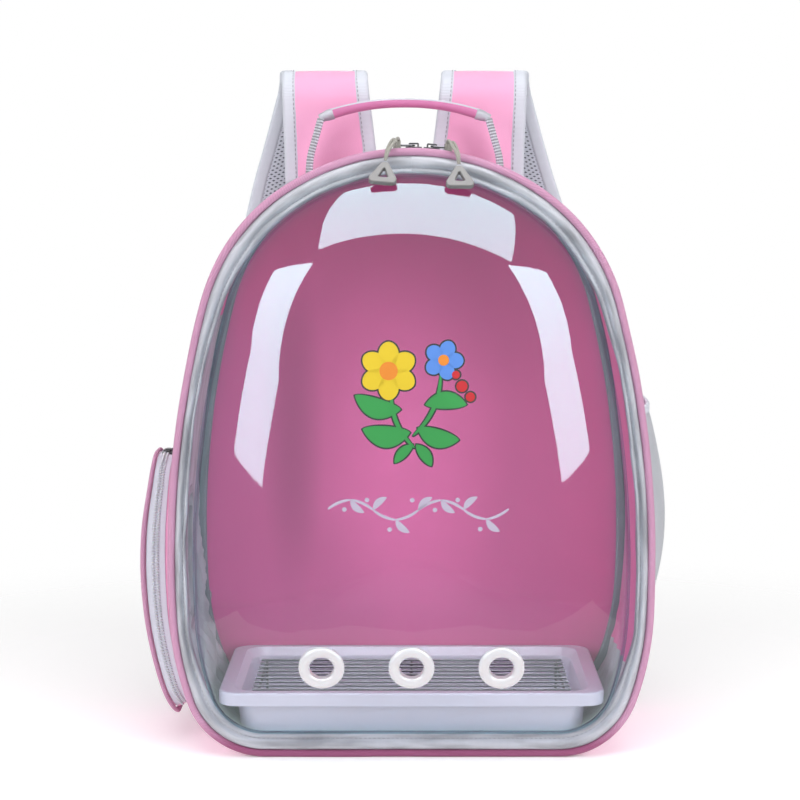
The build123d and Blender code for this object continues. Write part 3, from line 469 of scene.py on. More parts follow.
def outline(step=3.0):
    """Points and outward directions round the whole bag, clockwise from the top centre."""
    x, z = 0.0, SIZE["height"]
    points, out = [], []
    for radius, start, end in CHAIN:
        count = max(4, round(radius * math.radians(end - start) / step))
        heading = np.radians(np.linspace(start, end, count, endpoint=end == 180))
        across = radius * (np.sin(heading) - math.sin(math.radians(start)))
        down = radius * (math.cos(math.radians(start)) - np.cos(heading))
        points.append(np.stack([x + across, z - down], -1))
        out.append(np.stack([np.sin(heading), np.cos(heading)], -1))
        turn = math.radians(end)
        x += radius * (math.sin(turn) - math.sin(math.radians(start)))
        z -= radius * (math.cos(math.radians(start)) - math.cos(turn))
    half, facing = np.vstack(points), np.vstack(out)
    count = round(2 * x / step)
    base = np.stack([np.linspace(x, -x, count + 1)[1:-1], np.full(count - 1, half[-1, 1])], -1)
    mirror = np.array([-1.0, 1.0])
    whole = np.vstack([half, base, half[:0:-1] * mirror])
    return whole, np.vstack([facing, np.tile([0.0, -1.0], (count - 1, 1)), facing[:0:-1] * mirror])


rim, rim_out = outline()
base_half = rim[rim[:, 1] < 0.01, 0].max()
rim_s = running(rim)
rim_s /= rim_s[-1] + np.linalg.norm(rim[0] - rim[-1])
# How far round the bag its two feet are, as shares of the whole way clockwise from the top.
LEFT_FOOT, RIGHT_FOOT = 0.635, 0.37
print("outline points:", len(rim), "half base:", round(base_half, 2), "widest:", round(rim[:, 0].max(), 2))


def round_bag(insets, ys, part=slice(None)):
    """Carries a section round the outline: insets and y are arrays over (station, section point)."""
    p, n = rim[part, None], rim_out[part, None]
    insets = np.broadcast_to(insets, (p.shape[0], np.shape(insets)[-1]))
    return standing(p - insets[..., None] * n, ys)


def rounded_section(inset_range, y_range, corner, count=4):
    """A closed rounded rectangle in (inset, y), as two arrays."""
    (a0, a1), (b0, b1) = inset_range, y_range
    centres = [(a1 - corner, b1 - corner), (a0 + corner, b1 - corner), (a0 + corner, b0 + corner),
               (a1 - corner, b0 + corner)]
    turns = np.radians(np.linspace(0, 90, count))
    arcs = [np.stack([cx + corner * np.cos(turns + q * math.pi / 2),
                      cy + corner * np.sin(turns + q * math.pi / 2)]) for q, (cx, cy) in enumerate(centres)]
    return np.concatenate(arcs, axis=1)


def rumple(seed, waves, height):
    """A closed wavy line: a sum of sines round the bag whose phases come from a fixed seed."""
    rng = np.random.default_rng(seed)
    total = np.zeros(len(rim))
    for k in waves:
        total += np.sin(2 * np.pi * (k * rim_s + rng.random())) * rng.uniform(0.5, 1.0)
    return height * (total / np.abs(total).max())


# %% [markdown]
# ## Floor, light and camera
# A clear dome is shown by what it mirrors: one large soft box above and in front, and one tall
# soft box on each side. Where each stands follows from the dome: the direction from the lens is
# mirrored about the dome's normal at the place where the highlight should sit.
# The floor and the world look plain white to the lens, to mirrors and to clear sheets, and for
# all other rays they are a pale studio grey.

# %% Stage
def studio_floor(name, lift, near, far):
    """Takes the shadow near the bag, and fades out between two distances into the white world."""
    material, tree = new_material(name)
    away = add(tree, "VectorMath", {0: object_place(tree)}, operation="LENGTH").outputs["Value"]
    fade = add(tree, "MapRange", {"Value": away, "From Min": near, "From Max": far},
               interpolation_type="SMOOTHSTEP").outputs[0]
    matte = add(tree, "BsdfDiffuse", {"Color": (1, 1, 1, 1)})
    glow = add(tree, "Emission", {"Strength": lift})
    lit = add(tree, "AddShader", {0: matte.outputs[0], 1: glow.outputs[0]})
    finish_material(tree, mixed(tree, fade, lit, add(tree, "BsdfTransparent")))
    return material


def white_world(strength):
    """A plain pale world that the lens, mirrors and clear sheets see as white."""
    world = bpy.data.worlds.new("studio")
    bpy.context.scene.world = world
    world.use_nodes = True
    tree = world.node_tree
    tree.nodes.clear()
    rays = add(tree, "LightPath").outputs
    seen = maths(tree, "MAXIMUM", rays["Is Camera Ray"], rays["Is Glossy Ray"])
    seen = maths(tree, "MAXIMUM", seen, rays["Is Transmission Ray"])
    level = maths(tree, "MULTIPLY_ADD", seen, 1.0 - strength, strength)
    sky = add(tree, "Background", {"Color": (1, 1, 1, 1), "Strength": level})
    add(tree, "OutputWorld", {"Surface": sky.outputs[0]})


white_world(0.42)
floor_mesh = bpy.data.meshes.new("floor")
floor_mesh.from_pydata([(-4, -4, 0), (4, -4, 0), (4, 4, 0), (-4, 4, 0)], [], [(0, 1, 2, 3)])
floor_mesh.materials.append(studio_floor("pale floor", 0.15, 0.35, 0.75))
floor = linked("floor", floor_mesh)


def soft_box(name, place, target, width, height, watts):
    """A rectangular lamp that faces a target point."""
    lamp = bpy.data.lights.new(name, "AREA")
    lamp.shape, lamp.size, lamp.size_y, lamp.energy = "RECTANGLE", width, height, watts
    made = linked(name, lamp)
    made.location = place
    made.visible_glossy = False
    made.rotation_euler = (Vector(target) - Vector(place)).to_track_quat("-Z", "Y").to_euler()


soft_box("overhead box", (0.08, -0.75, 1.60), (0.08, -0.45, 0.3), 1.45, 1.6, 14.5)
soft_box("left box", (-1.15, -1.05, 0.62), (0, -0.1, 0.25), 0.95, 1.1, 12.5)
soft_box("right box", (1.15, -1.05, 0.62), (0, -0.1, 0.25), 0.95, 1.1, 12.5)


def mirror_card(name, corners, strength, dim_below, hex_glow="FBFBFF"):
    """A bright card that only mirrors see: it gives the dome its highlights and adds no other light."""
    material, tree = new_material(name)
    fade = add(tree, "MapRange", {"Value": object_axes(tree)[2], "From Min": corners[-1][2],
                                  "From Max": corners[0][2], "To Min": dim_below}).outputs[0]
    glow = add(tree, "Emission", {"Color": colour(hex_glow), "Strength": maths(tree, "MULTIPLY", fade, strength)})
    seen = add(tree, "LightPath").outputs["Is Glossy Ray"]
    finish_material(tree, mixed(tree, seen, add(tree, "BsdfTransparent"), glow))
    material.cycles.emission_sampling = "NONE"
    mesh = bpy.data.meshes.new(name)
    mesh.from_pydata(corners, [], [tuple(range(len(corners)))])
    mesh.materials.append(material)
    made = linked(name, mesh)


mirror_card("overhead card", [(-0.55, 0.34, 1.73), (0.0, 0.10, 1.80), (0.87, -0.03, 1.64), (0.75, -1.15, 1.18),
                              (-0.01, -1.20, 1.37), (-0.71, -1.09, 1.29)], 17.0, 0.9)
mirror_card("left card", [(-1.18, -0.75, 1.15), (-0.73, -1.17, 1.17), (-1.13, -1.21, 0.08), (-1.47, -0.76, 0.20)],
            20.5, 0.7)
mirror_card("right card", [(0.71, -1.20, 1.15), (1.15, -0.82, 1.13), (1.48, -0.74, 0.20), (1.14, -1.20, 0.09)],
            20.5, 0.7)

CAMERA = {"away": 1.4625, "height": 0.393, "looks_down": 5.93, "lens": 91.85, "sensor": 36.0, "shift": -0.0144}
bpy.context.scene.view_settings.view_transform = "Standard"
camera = linked("camera", bpy.data.cameras.new("camera"))
bpy.context.scene.camera = camera
camera.location = (0, -CAMERA["away"], CAMERA["height"])
camera.rotation_euler = (math.radians(90 - CAMERA["looks_down"]), 0, 0)
camera.data.lens, camera.data.sensor_width, camera.data.shift_x = CAMERA["lens"], CAMERA["sensor"], CAMERA["shift"]
print("camera is", round(camera.location.length, 3), "m from the base")

# The pale floor in front of the bag shows in the lower dome; its front edge is as uneven as the highlight's.
shown_floor = [(0.0, -0.28), (0.18, -0.36), (0.30, -0.37), (0.48, -0.38), (0.56, -0.35), (0.5, 0.0), (-0.5, 0.0),
               (-0.48, -0.35), (-0.36, -0.33), (-0.18, -0.36)]
card_heights = [0.002] * (len(shown_floor) - 1) + [0.0021]
mirror_card("floor card", [(*at, z) for at, z in zip(shown_floor, card_heights)], 2.51, 1.0, "FFE2DD")

# %% [markdown]
# ## The dome
# A blown dome isn't a piece of a sphere: it keeps the outline of its frame and is fullest low
# down. Its skin is a stack of scaled copies of the rim, and a copy scaled by k stands
# rise * (1 - k^n)^(1/n) in front of the flange, a superellipse a little fuller than a circle.
# The grid runs outward over the outer skin, round the flange's edge, and back over the inner
# skin, so it is one closed sheet. Quads under the three eyelets are left out.

# %% Dome
DOME = {"rise": 61.0, "fullness": 2.1, "centre": 170.0, "rim": 17.6, "wall": 1.2, "flange_y": -78.0,
        "flange_middle": 13.0, "flange_edge": 9.1}
EYELETS = [(-60.0, 75.0), (0.0, 75.0), (60.0, 75.0)]
EYELET_OPENING = 12.2


def dome_profile(k):
    """How far the skin stands in front of the flange for scale k, 0 in the middle, 1 at the rim."""
    return DOME["rise"] * (1 - np.clip(k, 0, 1) ** DOME["fullness"]) ** (1 / DOME["fullness"])


def dome_skin(k, inset, y_rim):
    """Scaled copies of the rim: points[station, k]."""
    edge = (rim - inset * rim_out)[:, None]
    centre = np.array([0.0, DOME["centre"]])
    flat = centre + k[None, :, None] * (edge - centre)
    return standing(flat, y_rim - dome_profile(k))


k = eased(64)
outer = dome_skin(k, DOME["rim"], DOME["flange_y"])
inner = dome_skin(k[::-1], DOME["rim"] + DOME["wall"], DOME["flange_y"] + DOME["wall"])
edge_inset = [DOME["flange_middle"], DOME["flange_edge"]]
flange = round_bag(edge_inset + edge_inset[::-1], [DOME["flange_y"]] * 2 + [DOME["flange_y"] + DOME["wall"]] * 2)
sheet = np.concatenate([outer, flange, inner], axis=1)
middles = (sheet[:, :-1] + np.roll(sheet, -1, 0)[:, 1:]) / 2
clear = np.ones(middles.shape[:2], bool)
for x, z in EYELETS:
    clear &= np.hypot(middles[..., 0] - x, middles[..., 2] - z) > EYELET_OPENING
dome = surface("clear_dome_sheet", sheet, clear_plastic, "door", "clear_plastic", "clear_dome",
               closed=(True, False), keep=clear, flip=True)
crease(dome, 50)
print("dome:", len(dome.data.polygons), "faces, front at", round(sheet[..., 1].min(), 1))

# %% [markdown]
# ## Pipings
# A piping is a cord wrapped in a strip of cloth, sewn into the seam. It is a tube carried round
# the outline. Its cloth is cut on the bias, so a diagonal twill shows.

# %% Pipings
def tube_section(centre_inset, centre_y, radius, count=14):
    """A circle in (inset, y)."""
    turn = np.linspace(0, 2 * np.pi, count, endpoint=False)
    return centre_inset + radius * np.cos(turn), centre_y + radius * np.sin(turn)


PIPING = {"radius": 2.7, "inset": 2.75}
sway = rumple(3, (5, 9, 14, 23), 0.25)[:, None]
for side, body, y in (("front", "door", SIZE["front"]), ("back", "bag", SIZE["back"] - PIPING["inset"])):
    insets, ys = tube_section(PIPING["inset"], y, PIPING["radius"])
    surface(f"{side}_piping_cloth", round_bag(insets + sway, ys), pink_piping, body, "pink_piping",
            f"{side}_piping", closed=(True, True))
print("pipings:", round(2 * np.pi * PIPING["radius"], 1), "mm round")

# %% [markdown]
# ## The band that holds the dome
# A soft band is folded over the dome's flange and stitched. It is a rounded rectangle carried
# round the outline. Real ones are a little uneven where they are eased round the corners, so the
# section breathes by a few tenths of a millimetre.

# %% Dome band
GROOVE_INSET = 13.0


def soft_band(name, inset_range, y_range, corner, *look, seed=1, ease=0.3, part=None, pucker=0.0, section=None,
              squeeze=None):
    """A padded band: its corners keep their place while its faces swell and pucker.

    It puckers most where it is eased round the bag's left foot. A section given by its points
    may be squeezed towards its first point, station by station, while its groove wanders.
    """
    insets, ys = rounded_section(inset_range, y_range, corner, 6) if section is None else section
    stations = slice(None) if part is None else part
    middle_y = np.mean(y_range)
    swell = rumple(seed, (7, 13, 19, 31, 44), ease)[stations][:, None]
    gather = rumple(seed + 9, (61, 83, 97, 118), pucker)
    gather = (gather * (1 + 2.5 * bell(rim_s, LEFT_FOOT, 0.07)))[stations][:, None]
    scale_y = 1 + (swell + gather) / (y_range[1] - y_range[0])
    insets = np.broadcast_to(insets, (len(swell), len(insets)))
    if squeeze is not None:
        wander = rumple(seed + 3, (4, 7, 11, 17, 26), 0.8)[stations][:, None]
        insets = insets[:, :1] + (insets - insets[:, :1]) * squeeze[stations][:, None]
        insets = insets + wander * bell(insets, GROOVE_INSET, 2.5)
    points = round_bag(insets + swell * 0.4, middle_y + (ys - middle_y) * scale_y, stations)
    surface(name, points, *look, closed=(part is None, True), caps=part is not None)


BAND = [(5.4, -74.4), (5.4, -78.0), (6.3, -80.0), (7.9, -81.1), (9.6, -81.5), (11.2, -81.2), (12.4, -80.2),
        (13.2, -79.3), (13.9, -79.3), (14.8, -80.0), (15.9, -80.1), (16.9, -79.5), (17.4, -78.3), (17.4, -74.4),
        (12.0, -74.2)]
# The band is narrower along the sides than round the top and the feet.
band_share = 1 - 0.36 * np.clip((rim[:, 1] - 35) / 50, 0, 1) * np.clip((350 - rim[:, 1]) / 80, 0, 1)
soft_band("dome_band_cloth", (5.9, 17.4), (-81.5, -74.4), 2.6, grey_binding, "door", "grey_binding",
          "dome_binding", seed=5, ease=0.5, pucker=0.3, section=np.array(BAND).T, squeeze=band_share)
print("dome band is 12 mm wide")

# %% [markdown]
# ## Places on the bag
# Everything else is placed by three helpers: stretches of the outline picked by height, points
# that stand a given distance out of a side wall, and sections carried along any path.

# %% Placing helpers
def above(height):
    """Stations from the left foot over the top to the right foot that lie above a height."""
    order = np.roll(np.arange(len(rim)), len(rim) // 2)
    return order[rim[order, 1] > height]


HALF = slice(0, len(rim) // 2)
SIDES = (("left", -1), ("right", 1))


def on_wall(side, y, z, reach):
    """Points that stand out of the side wall at height z by reach; side is -1 left or 1 right."""
    height, x = rim[HALF, 1][::-1], rim[HALF, 0][::-1]
    out_x = np.interp(z, height, rim_out[HALF, 0][::-1])
    out_z = np.interp(z, height, rim_out[HALF, 1][::-1])
    flat = np.interp(z, height, x) + reach * out_x
    return np.stack(np.broadcast_arrays(side * flat, y, z + reach * out_z), -1)


def circle(radius, count=10):
    """A ring of (sideways, up) pairs about the origin."""
    turn = np.linspace(0, 2 * np.pi, count, endpoint=False)
    return radius * np.stack([np.cos(turn), np.sin(turn)], -1)


def oblong(width, thickness, corner, count=4):
    """A rounded rectangle about the origin, as (sideways, up) pairs."""
    return np.stack(rounded_section((-width / 2, width / 2), (-thickness / 2, thickness / 2), corner, count), -1)


def smooth_path(points, count):
    """Catmull-Rom: each stretch is a cubic whose end slopes are half the step between neighbours."""
    p = np.asarray(points, float)
    p = np.vstack([2 * p[0] - p[1], p, 2 * p[-1] - p[-2]])
    t = np.linspace(0, len(p) - 3 - 1e-9, count)
    i, f = t.astype(int), (t % 1)[:, None]
    a, b, c, d = p[i], p[i + 1], p[i + 2], p[i + 3]
    return 0.5 * (2 * b + (c - a) * f + (2 * a - 5 * b + 4 * c - d) * f ** 2 + (3 * b - a - 3 * c + d) * f ** 3)


def unit(v):
    """The same directions with a length of one."""
    return v / np.linalg.norm(v, axis=-1, keepdims=True)


def carried(path, section, side, closed=False):
    """Sections carried along a path; side says where each section's first direction points."""
    ahead = np.roll(path, -1, 0) - np.roll(path, 1, 0) if closed else np.gradient(path, axis=0)
    ahead = unit(ahead)
    side = np.broadcast_to(np.asarray(side, float), path.shape)
    side = unit(side - (side * ahead).sum(1, keepdims=True) * ahead)
    up = np.cross(ahead, side)
    section = np.broadcast_to(section, (len(path), *np.shape(section)[-2:]))
    return path[:, None] + section[..., :1] * side[:, None] + section[..., 1:] * up[:, None]


def strip(name, path, section, side, *look, closed=False, smooth=True):
    """A piece made by carrying a closed section along a path, with capped ends unless it closes."""
    made = surface(name, carried(path, section, side, closed), *look, closed=(closed, True), caps=not closed)
    return made if smooth else crease(made, 45)


def merged(name, grids, *look, closed=(False, True), caps=True):
    """Several grids of points as one piece."""
    work = bmesh.new()
    for grid in grids:
        part = grid_mesh(name, grid, closed, caps)
        work.from_mesh(part)
        bpy.data.meshes.remove(part)
    mesh = bpy.data.meshes.new(name)
    work.to_mesh(mesh)
    work.free()
    return welded(piece(name, mesh, *look))


def bead(rings=4, count=6):
    """A small round template: rings of points between two poles, as a grid."""
    lift, turn = np.meshgrid(np.linspace(-np.pi / 2, np.pi / 2, rings + 1),
                             np.linspace(0, 2 * np.pi, count, endpoint=False), indexing="ij")
    return np.stack([np.cos(lift) * np.cos(turn), np.cos(lift) * np.sin(turn), np.sin(lift)], -1)


def beads(name, places, axes, sizes, *look):
    """A squashed bead at each place: axes[i] holds three directions and sizes their half lengths."""
    shape = bead() * np.asarray(sizes)
    nu, nv = shape.shape[:2]
    points = places[:, None, None] + np.einsum("uvk,nkx->nuvx", shape, axes)
    i, j = np.meshgrid(np.arange(nu - 1), np.arange(nv), indexing="ij")
    corners = [(i, j), (i, (j + 1) % nv), (i + 1, (j + 1) % nv), (i + 1, j)]
    faces = np.stack([a * nv + b for a, b in corners], -1).reshape(-1, 4)
    faces = faces[None] + (np.arange(len(places)) * nu * nv)[:, None, None]
    mesh = from_faces(name, points, faces.reshape(-1, 4).tolist())
    mesh.uv_layers.new(name="cloth")
    mesh.polygons.foreach_set("use_smooth", np.ones(len(mesh.polygons), bool))
    return welded(piece(name, mesh, *look))


def spaced(path, pitch, closed=False):
    """Points an even pitch apart along a path, with the direction of travel at each."""
    line = np.vstack([path, path[:1]]) if closed else path
    run = running(line)
    at = np.arange(pitch / 2, run[-1], pitch)
    points = np.stack([np.interp(at, run, line[:, i]) for i in range(3)], -1)
    return points, unit(np.gradient(points, axis=0))


def bead_axes(ahead, up):
    """For each stitch, the directions across the seam, out of the cloth and along the seam."""
    up = np.broadcast_to(up, ahead.shape)
    return np.stack([np.cross(ahead, up), up, ahead], 1)


print("placing helpers ready")

# %% [markdown]
# ## More cloths
# Net is threads with real holes, so its shader is clear between the threads. Spacer mesh is a
# knitted sheet with oval holes in rows, each row shifted by half a step, painted dark as the shade inside them.
# Webbing is a herringbone, and cord is a braid: two diagonal waves that cross.

# %% Net, spacer mesh, webbing and braid
def net(name, hex_colour, pitch, thread):
    """Crossed threads: solid where either wave is near zero, clear everywhere else."""
    material, tree = new_material(name)
    low = maths(tree, "MINIMUM", *[maths(tree, "ABSOLUTE", one) for one in crossed(tree, pitch * 2)])
    hole = maths(tree, "GREATER_THAN", low, thread)
    bump = add(tree, "Bump", {"Height": low, "Distance": -0.15 * MM, "Strength": 0.8})
    skin = add(tree, "BsdfPrincipled", {"Base Color": colour(hex_colour), "Roughness": 0.6,
                                        "Normal": bump.outputs[0], "Specular IOR Level": 0.3})
    finish_material(tree, mixed(tree, hole, skin, add(tree, "BsdfTransparent")))
    return material


def wall_axes(tree):
    """Height and width in millimetres, for a piece that faces the back."""
    place = object_axes(tree)
    return [maths(tree, "MULTIPLY", place[i], 1000.0) for i in (2, 0)]


def spacer_mesh(name, hex_colour, hex_hole_shade, pitch, axes=thread_axes):
    """A knit with oval holes where two diagonal waves are both high, each row shifted by half."""
    material, tree = new_material(name)
    hills = maths(tree, "MINIMUM", *crossed(tree, pitch, axes, 0.6))
    depth = add(tree, "MapRange", {"Value": hills, "From Min": 0.05, "From Max": 0.35},
                interpolation_type="SMOOTHSTEP")
    # Painted shade: the holes take the dark colour of the shade inside them.
    base = add(tree, "Mix", {0: depth.outputs[0], 6: colour(hex_colour), 7: colour(hex_hole_shade)}, data_type="RGBA")
    bump = add(tree, "Bump", {"Height": depth.outputs[0], "Distance": -0.6 * MM, "Strength": 0.8})
    skin = add(tree, "BsdfPrincipled", {"Base Color": base.outputs[2], "Roughness": 0.8,
                                        "Normal": bump.outputs[0], "Sheen Weight": 0.15,
                                        "Specular IOR Level": 0.2})
    finish_material(tree, skin)
    return material


def braid(tree, pitch):
    """Two diagonal waves that cross, the higher one on top."""
    return maths(tree, "MAXIMUM", *crossed(tree, pitch))


window_net = net("white window net", "D9DCE0", 1.1, 0.42)
pocket_net = net("grey pocket net", "C2C5CB", 1.0, 0.62)
air_mesh = spacer_mesh("grey spacer mesh", "BFC2CC", "5A5D66", 3.3)
pad_mesh = spacer_mesh("back pad spacer mesh", "BFC2CC", "5A5D66", 3.3, wall_axes)
webbing = cloth("grey herringbone webbing", "C3C6CF", herringbone, 2.1, dark=0.5, bump=0.25, rumple=0.15)
ribbed_webbing = cloth("ribbed handle webbing", "CFD2DB", grosgrain, 2.2, dark=0.35, bump=0.4, rumple=0.1)
cord_braid = cloth("grey braided cord", "A5A39B", braid, 1.5, dark=0.6, bump=0.25, rumple=0.05)
thread = cloth("grey sewing thread", "9C9FA8", grosgrain, 0.5, dark=0.85, rumple=0.0)
coil_nylon = moulded("grey nylon coil", "B9BCC2", 0.4, grain=0.3, bump=0.01, translucent=0.15)
# The thread lies in the band's groove, 8.2 mm in from the band's outer edge at most.
groove = BAND[0][0] + 8.2 * band_share[:, None]
points, ahead = spaced(round_bag(groove, np.array([-79.45]))[:, 0], 3.2, closed=True)
beads("dome_band_stitches", points, bead_axes(ahead, (0.0, -1.0, 0.0)), (0.28, 0.24, 1.152), thread, "door",
      "grey_binding")
print("materials:", len(bpy.data.materials))

# %% [markdown]
# ## Gusset, lining and window
# The gusset is the long strip that runs over the top and down both sides. It is one closed
# section carried round the outline, with quads left out where the left wall has its mesh window.
# Foam-backed cloth stays smooth but never flat, so it breathes by a few tenths of a millimetre.
# The lining inside is loose: it stands off the wall in soft folds, most of all low on the left.

# %% Gusset and lining
WINDOW = {"y": (-32.0, 32.0), "z": (78.0, 174.0), "corner": 14.0}
ZIP_FOOT = 29.7
side_stations = above(0.3)


def box_distance(y, z, ys, zs, corner):
    """Signed distance to a rounded rectangle, below zero inside it."""
    dy = np.abs(y - np.mean(ys)) - (ys[1] - ys[0]) / 2 + corner
    dz = np.abs(z - np.mean(zs)) - (zs[1] - zs[0]) / 2 + corner
    return np.hypot(np.maximum(dy, 0), np.maximum(dz, 0)) + np.minimum(np.maximum(dy, dz), 0) - corner


def wall_sheet(insets, front, back, stations, ripple):
    """Outer face, back edge and inner face of a sheet round the bag; ripple(s, y) moves it inward."""
    y = front[:, None] + (back - front[:, None]) * np.linspace(0, 1, 40)
    s = np.broadcast_to(rim_s[stations][:, None], y.shape)
    outer, inner = insets[0] + ripple(s, y), insets[1] + ripple(s, y)
    return round_bag(there_and_back(outer, inner), there_and_back(y, y), stations)


def window_mask(points):
    """True for the quads that stay: all but those inside the window of the left wall."""
    middle = (points[:-1] + np.roll(points, -1, 1)[1:]) / 2
    inside = box_distance(middle[..., 1], middle[..., 2], WINDOW["y"], WINDOW["z"], WINDOW["corner"]) < 0
    return ~(inside & (middle[..., 0] < 0))


def breathing(s, y):
    """Shallow dents of a foam-backed cloth: products of slow sines along and across."""
    return 0.25 + 0.25 * np.sin(2 * np.pi * 17 * s + 0.05 * y) * np.sin(0.06 * y + 1.0 + 9 * s)


def loose(s, y):
    """Folds that fan out from the foot: ridges whose height grows low on the bag, more so on the left."""
    low = 1.5 * bell(s, LEFT_FOOT, 0.075) + 0.6 * bell(s, RIGHT_FOOT, 0.04)
    ridge = np.abs(np.sin(0.16 * y + 60 * s + 1.5 * np.sin(25 * s)))
    z = np.interp(s, rim_s, rim[:, 1])
    apart = box_distance(y, z, WINDOW["y"], WINDOW["z"], WINDOW["corner"])
    calm = np.where(s > 0.5, np.clip((apart - 3) / 14, 0, 1), 1.0)
    return 0.2 + calm * (0.5 * (1 + np.sin(2 * np.pi * 11 * s + 0.07 * y)) + 6.0 * low * (1 - ridge) ** 1.5)


def walls(name, insets, front, back, ripple, *look):
    """One cloth round the walls and the top, with the window left open in it."""
    points = wall_sheet(insets, front, back, side_stations, ripple)
    return surface(name, points, *look, caps=True, keep=window_mask(points), rim_round_hole=True).data


# Below the foot of the zip the gusset runs on to the front piping.
front_edge = np.where(rim[side_stations, 1] > ZIP_FOOT, -52.0, -74.4)
lining_edge = np.full(len(side_stations), -51.8)
gusset = walls("gusset_cloth", (0.1, 4.0), front_edge, 71.7, breathing, pink_oxford, "bag", "pink_oxford",
               "gusset_panel")
lining = walls("lining_cloth", (4.6, 5.6), lining_edge, 71.0, loose, pink_lining, "bag", "grey_lining",
               "gusset_lining")
GREY_TOP = {"left": 300.0, "right": 55.0}
backed(lining, grey_lining, lambda x, y, z: (x < 0) & (z < GREY_TOP["left"] * MM) | (z < GREY_TOP["right"] * MM))
print("gusset:", len(gusset.polygons), "faces; lining:", len(lining.polygons))

# %% [markdown]
# ## Window net and its binding
# Two helpers build everything that stands out of a side wall. A ring carries a small section
# round a rounded box, and a plate fills the box with scaled copies of its edge, as the dome does.

# %% Window net and its binding
def rounded_box(ys, zs, corner, step=3.0):
    """Points round a rounded rectangle in (y, z) and their outward directions."""
    centres = [(ys[1] - corner, zs[1] - corner), (ys[0] + corner, zs[1] - corner),
               (ys[0] + corner, zs[0] + corner), (ys[1] - corner, zs[0] + corner)]
    points, out = [], []
    for quarter, centre in enumerate(centres):
        turn = np.radians(np.linspace(0, 90, max(4, round(corner * 1.6 / step)))) + quarter * math.pi / 2
        way = np.stack([np.cos(turn), np.sin(turn)], -1)
        arc = np.array(centre) + corner * way
        goal = np.array(centres[(quarter + 1) % 4]) + corner * way[-1]
        count = max(2, round(np.linalg.norm(goal - arc[-1]) / step))
        straight = arc[-1] + (goal - arc[-1]) * np.linspace(0, 1, count + 1)[1:-1, None]
        points += [arc, straight]
        out += [way, np.tile(way[-1], (len(straight), 1))]
    return np.vstack(points), np.vstack(out)


def wall_ring(name, line, section, *look, bow=np.ones_like, closed=True):
    """A (grow, reach) section carried along a line on the left wall; bow scales its reach with height."""
    (points, out), (grow, reach) = line, section
    flat = points[:, None] + grow[None, :, None] * out[:, None]
    place = on_wall(-1, flat[..., 0], flat[..., 1], reach * bow(flat[..., 1]))
    surface(name, place, *look, closed=(closed, True), caps=not closed)


def wall_plate(name, line, thickness, reach, bulge, *look, bow=np.ones_like):
    """A sheet on the left wall: scaled copies of its edge, fullest in the middle."""
    points = line[0]
    centre = points.mean(0)
    k = eased(14)
    scale = np.concatenate([k, k[::-1]])
    lift = reach + bulge * (1 - scale ** 2) - np.repeat([0.0, thickness], len(k))
    flat = centre + scale[None, :, None] * (points[:, None] - centre)
    place = on_wall(-1, flat[..., 0], flat[..., 1], lift * bow(flat[..., 1]))
    surface(name, place, *look, closed=(True, False))


window_line = rounded_box(WINDOW["y"], WINDOW["z"], WINDOW["corner"])
wide_line = rounded_box((-35.0, 35.0), (75.0, 177.0), 16.0)
wall_plate("window_net", wide_line, 0.3, -2.4, 0.0, window_net, "bag", "grey_mesh", "left_window_mesh")
wall_ring("window_binding", window_line, rounded_section((-2.5, 4.5), (-6.4, 0.7), 1.2), grey_binding, "bag",
          "grey_binding")
print("window:", len(window_line[0]), "points round")

# %% [markdown]
# ## Back panel, base and floor
# The back is a stiff panel: pink inside, and the same oxford cloth as the gusset outside.
# It is made like the dome, from scaled copies of the outline, so its edge follows the bag.

# %% Back panel and inner binding
BACK = {"inset": 5.7, "centre": 205.0, "inside": 71.6, "middle": 74.5, "outside": 77.2}
k = eased(40)
edge = (rim - BACK["inset"] * rim_out)[:, None]
centre = np.array([0.0, BACK["centre"]])
flat = centre + k[None, :, None] * (edge - centre)
waves = np.sin(flat[..., 0] / 31) * np.sin(flat[..., 1] / 37 + 1) * (1 - k ** 6)
inside = standing(flat, BACK["inside"] - 0.5 * waves - 0.5 * (1 - k ** 8))
outside = standing(flat, BACK["outside"] + 0.2 * waves)
# Pink inside; the faces behind the panel's middle take the outer cloth.
back_mesh = surface("back_panel_cloth", there_and_back(inside, outside), pink_lining, "bag", "pink_lining",
                    "back_panel", closed=(True, False)).data
backed(back_mesh, pink_oxford, lambda x, y, z: y > BACK["middle"] * MM)
# The inner binding's darker grey is painted shade.
soft_band("inner_binding_cloth", (5.7, 12.6), (66.6, 71.2), 2.2, painted_shade_binding, "bag", "grey_binding",
          "inner_binding", seed=8, part=above(15.0))
print("back panel:", len(back_mesh.polygons))

# %% [markdown]
# ## Base and floor
# The base is a flat strip of the gusset's cloth between two seams. On the floor inside lies a
# soft liner that is a little too big and bunches up along its front edge.

# %% Base and floor liner
def slab(name, half_x, ys, low, high, count, *look):
    """A thin closed sheet over a rectangle; low and high are heights as functions of x and y."""
    x, y = np.meshgrid(np.linspace(-half_x, half_x, count[0]), np.linspace(*ys, count[1]), indexing="ij")
    faces = [np.stack([x, y, np.broadcast_to(height(x, y), x.shape)], -1) for height in (high, low)]
    return surface(name, there_and_back(*faces), *look, caps=True)


def floor_lift(x, y):
    """A mat that rises to the walls and crumples along its front edge."""
    wall = np.clip((np.abs(x) - 96) / 30, 0, 1) ** 2 * 5
    crumple = np.abs(np.sin(x / 7.3 + 1.3 * np.sin(x / 23))) * np.sin(x / 31 + 1) ** 2
    return 12.6 + 0.5 * wall + bell(y, -66, 9) * (0.6 + 2.2 * crumple)


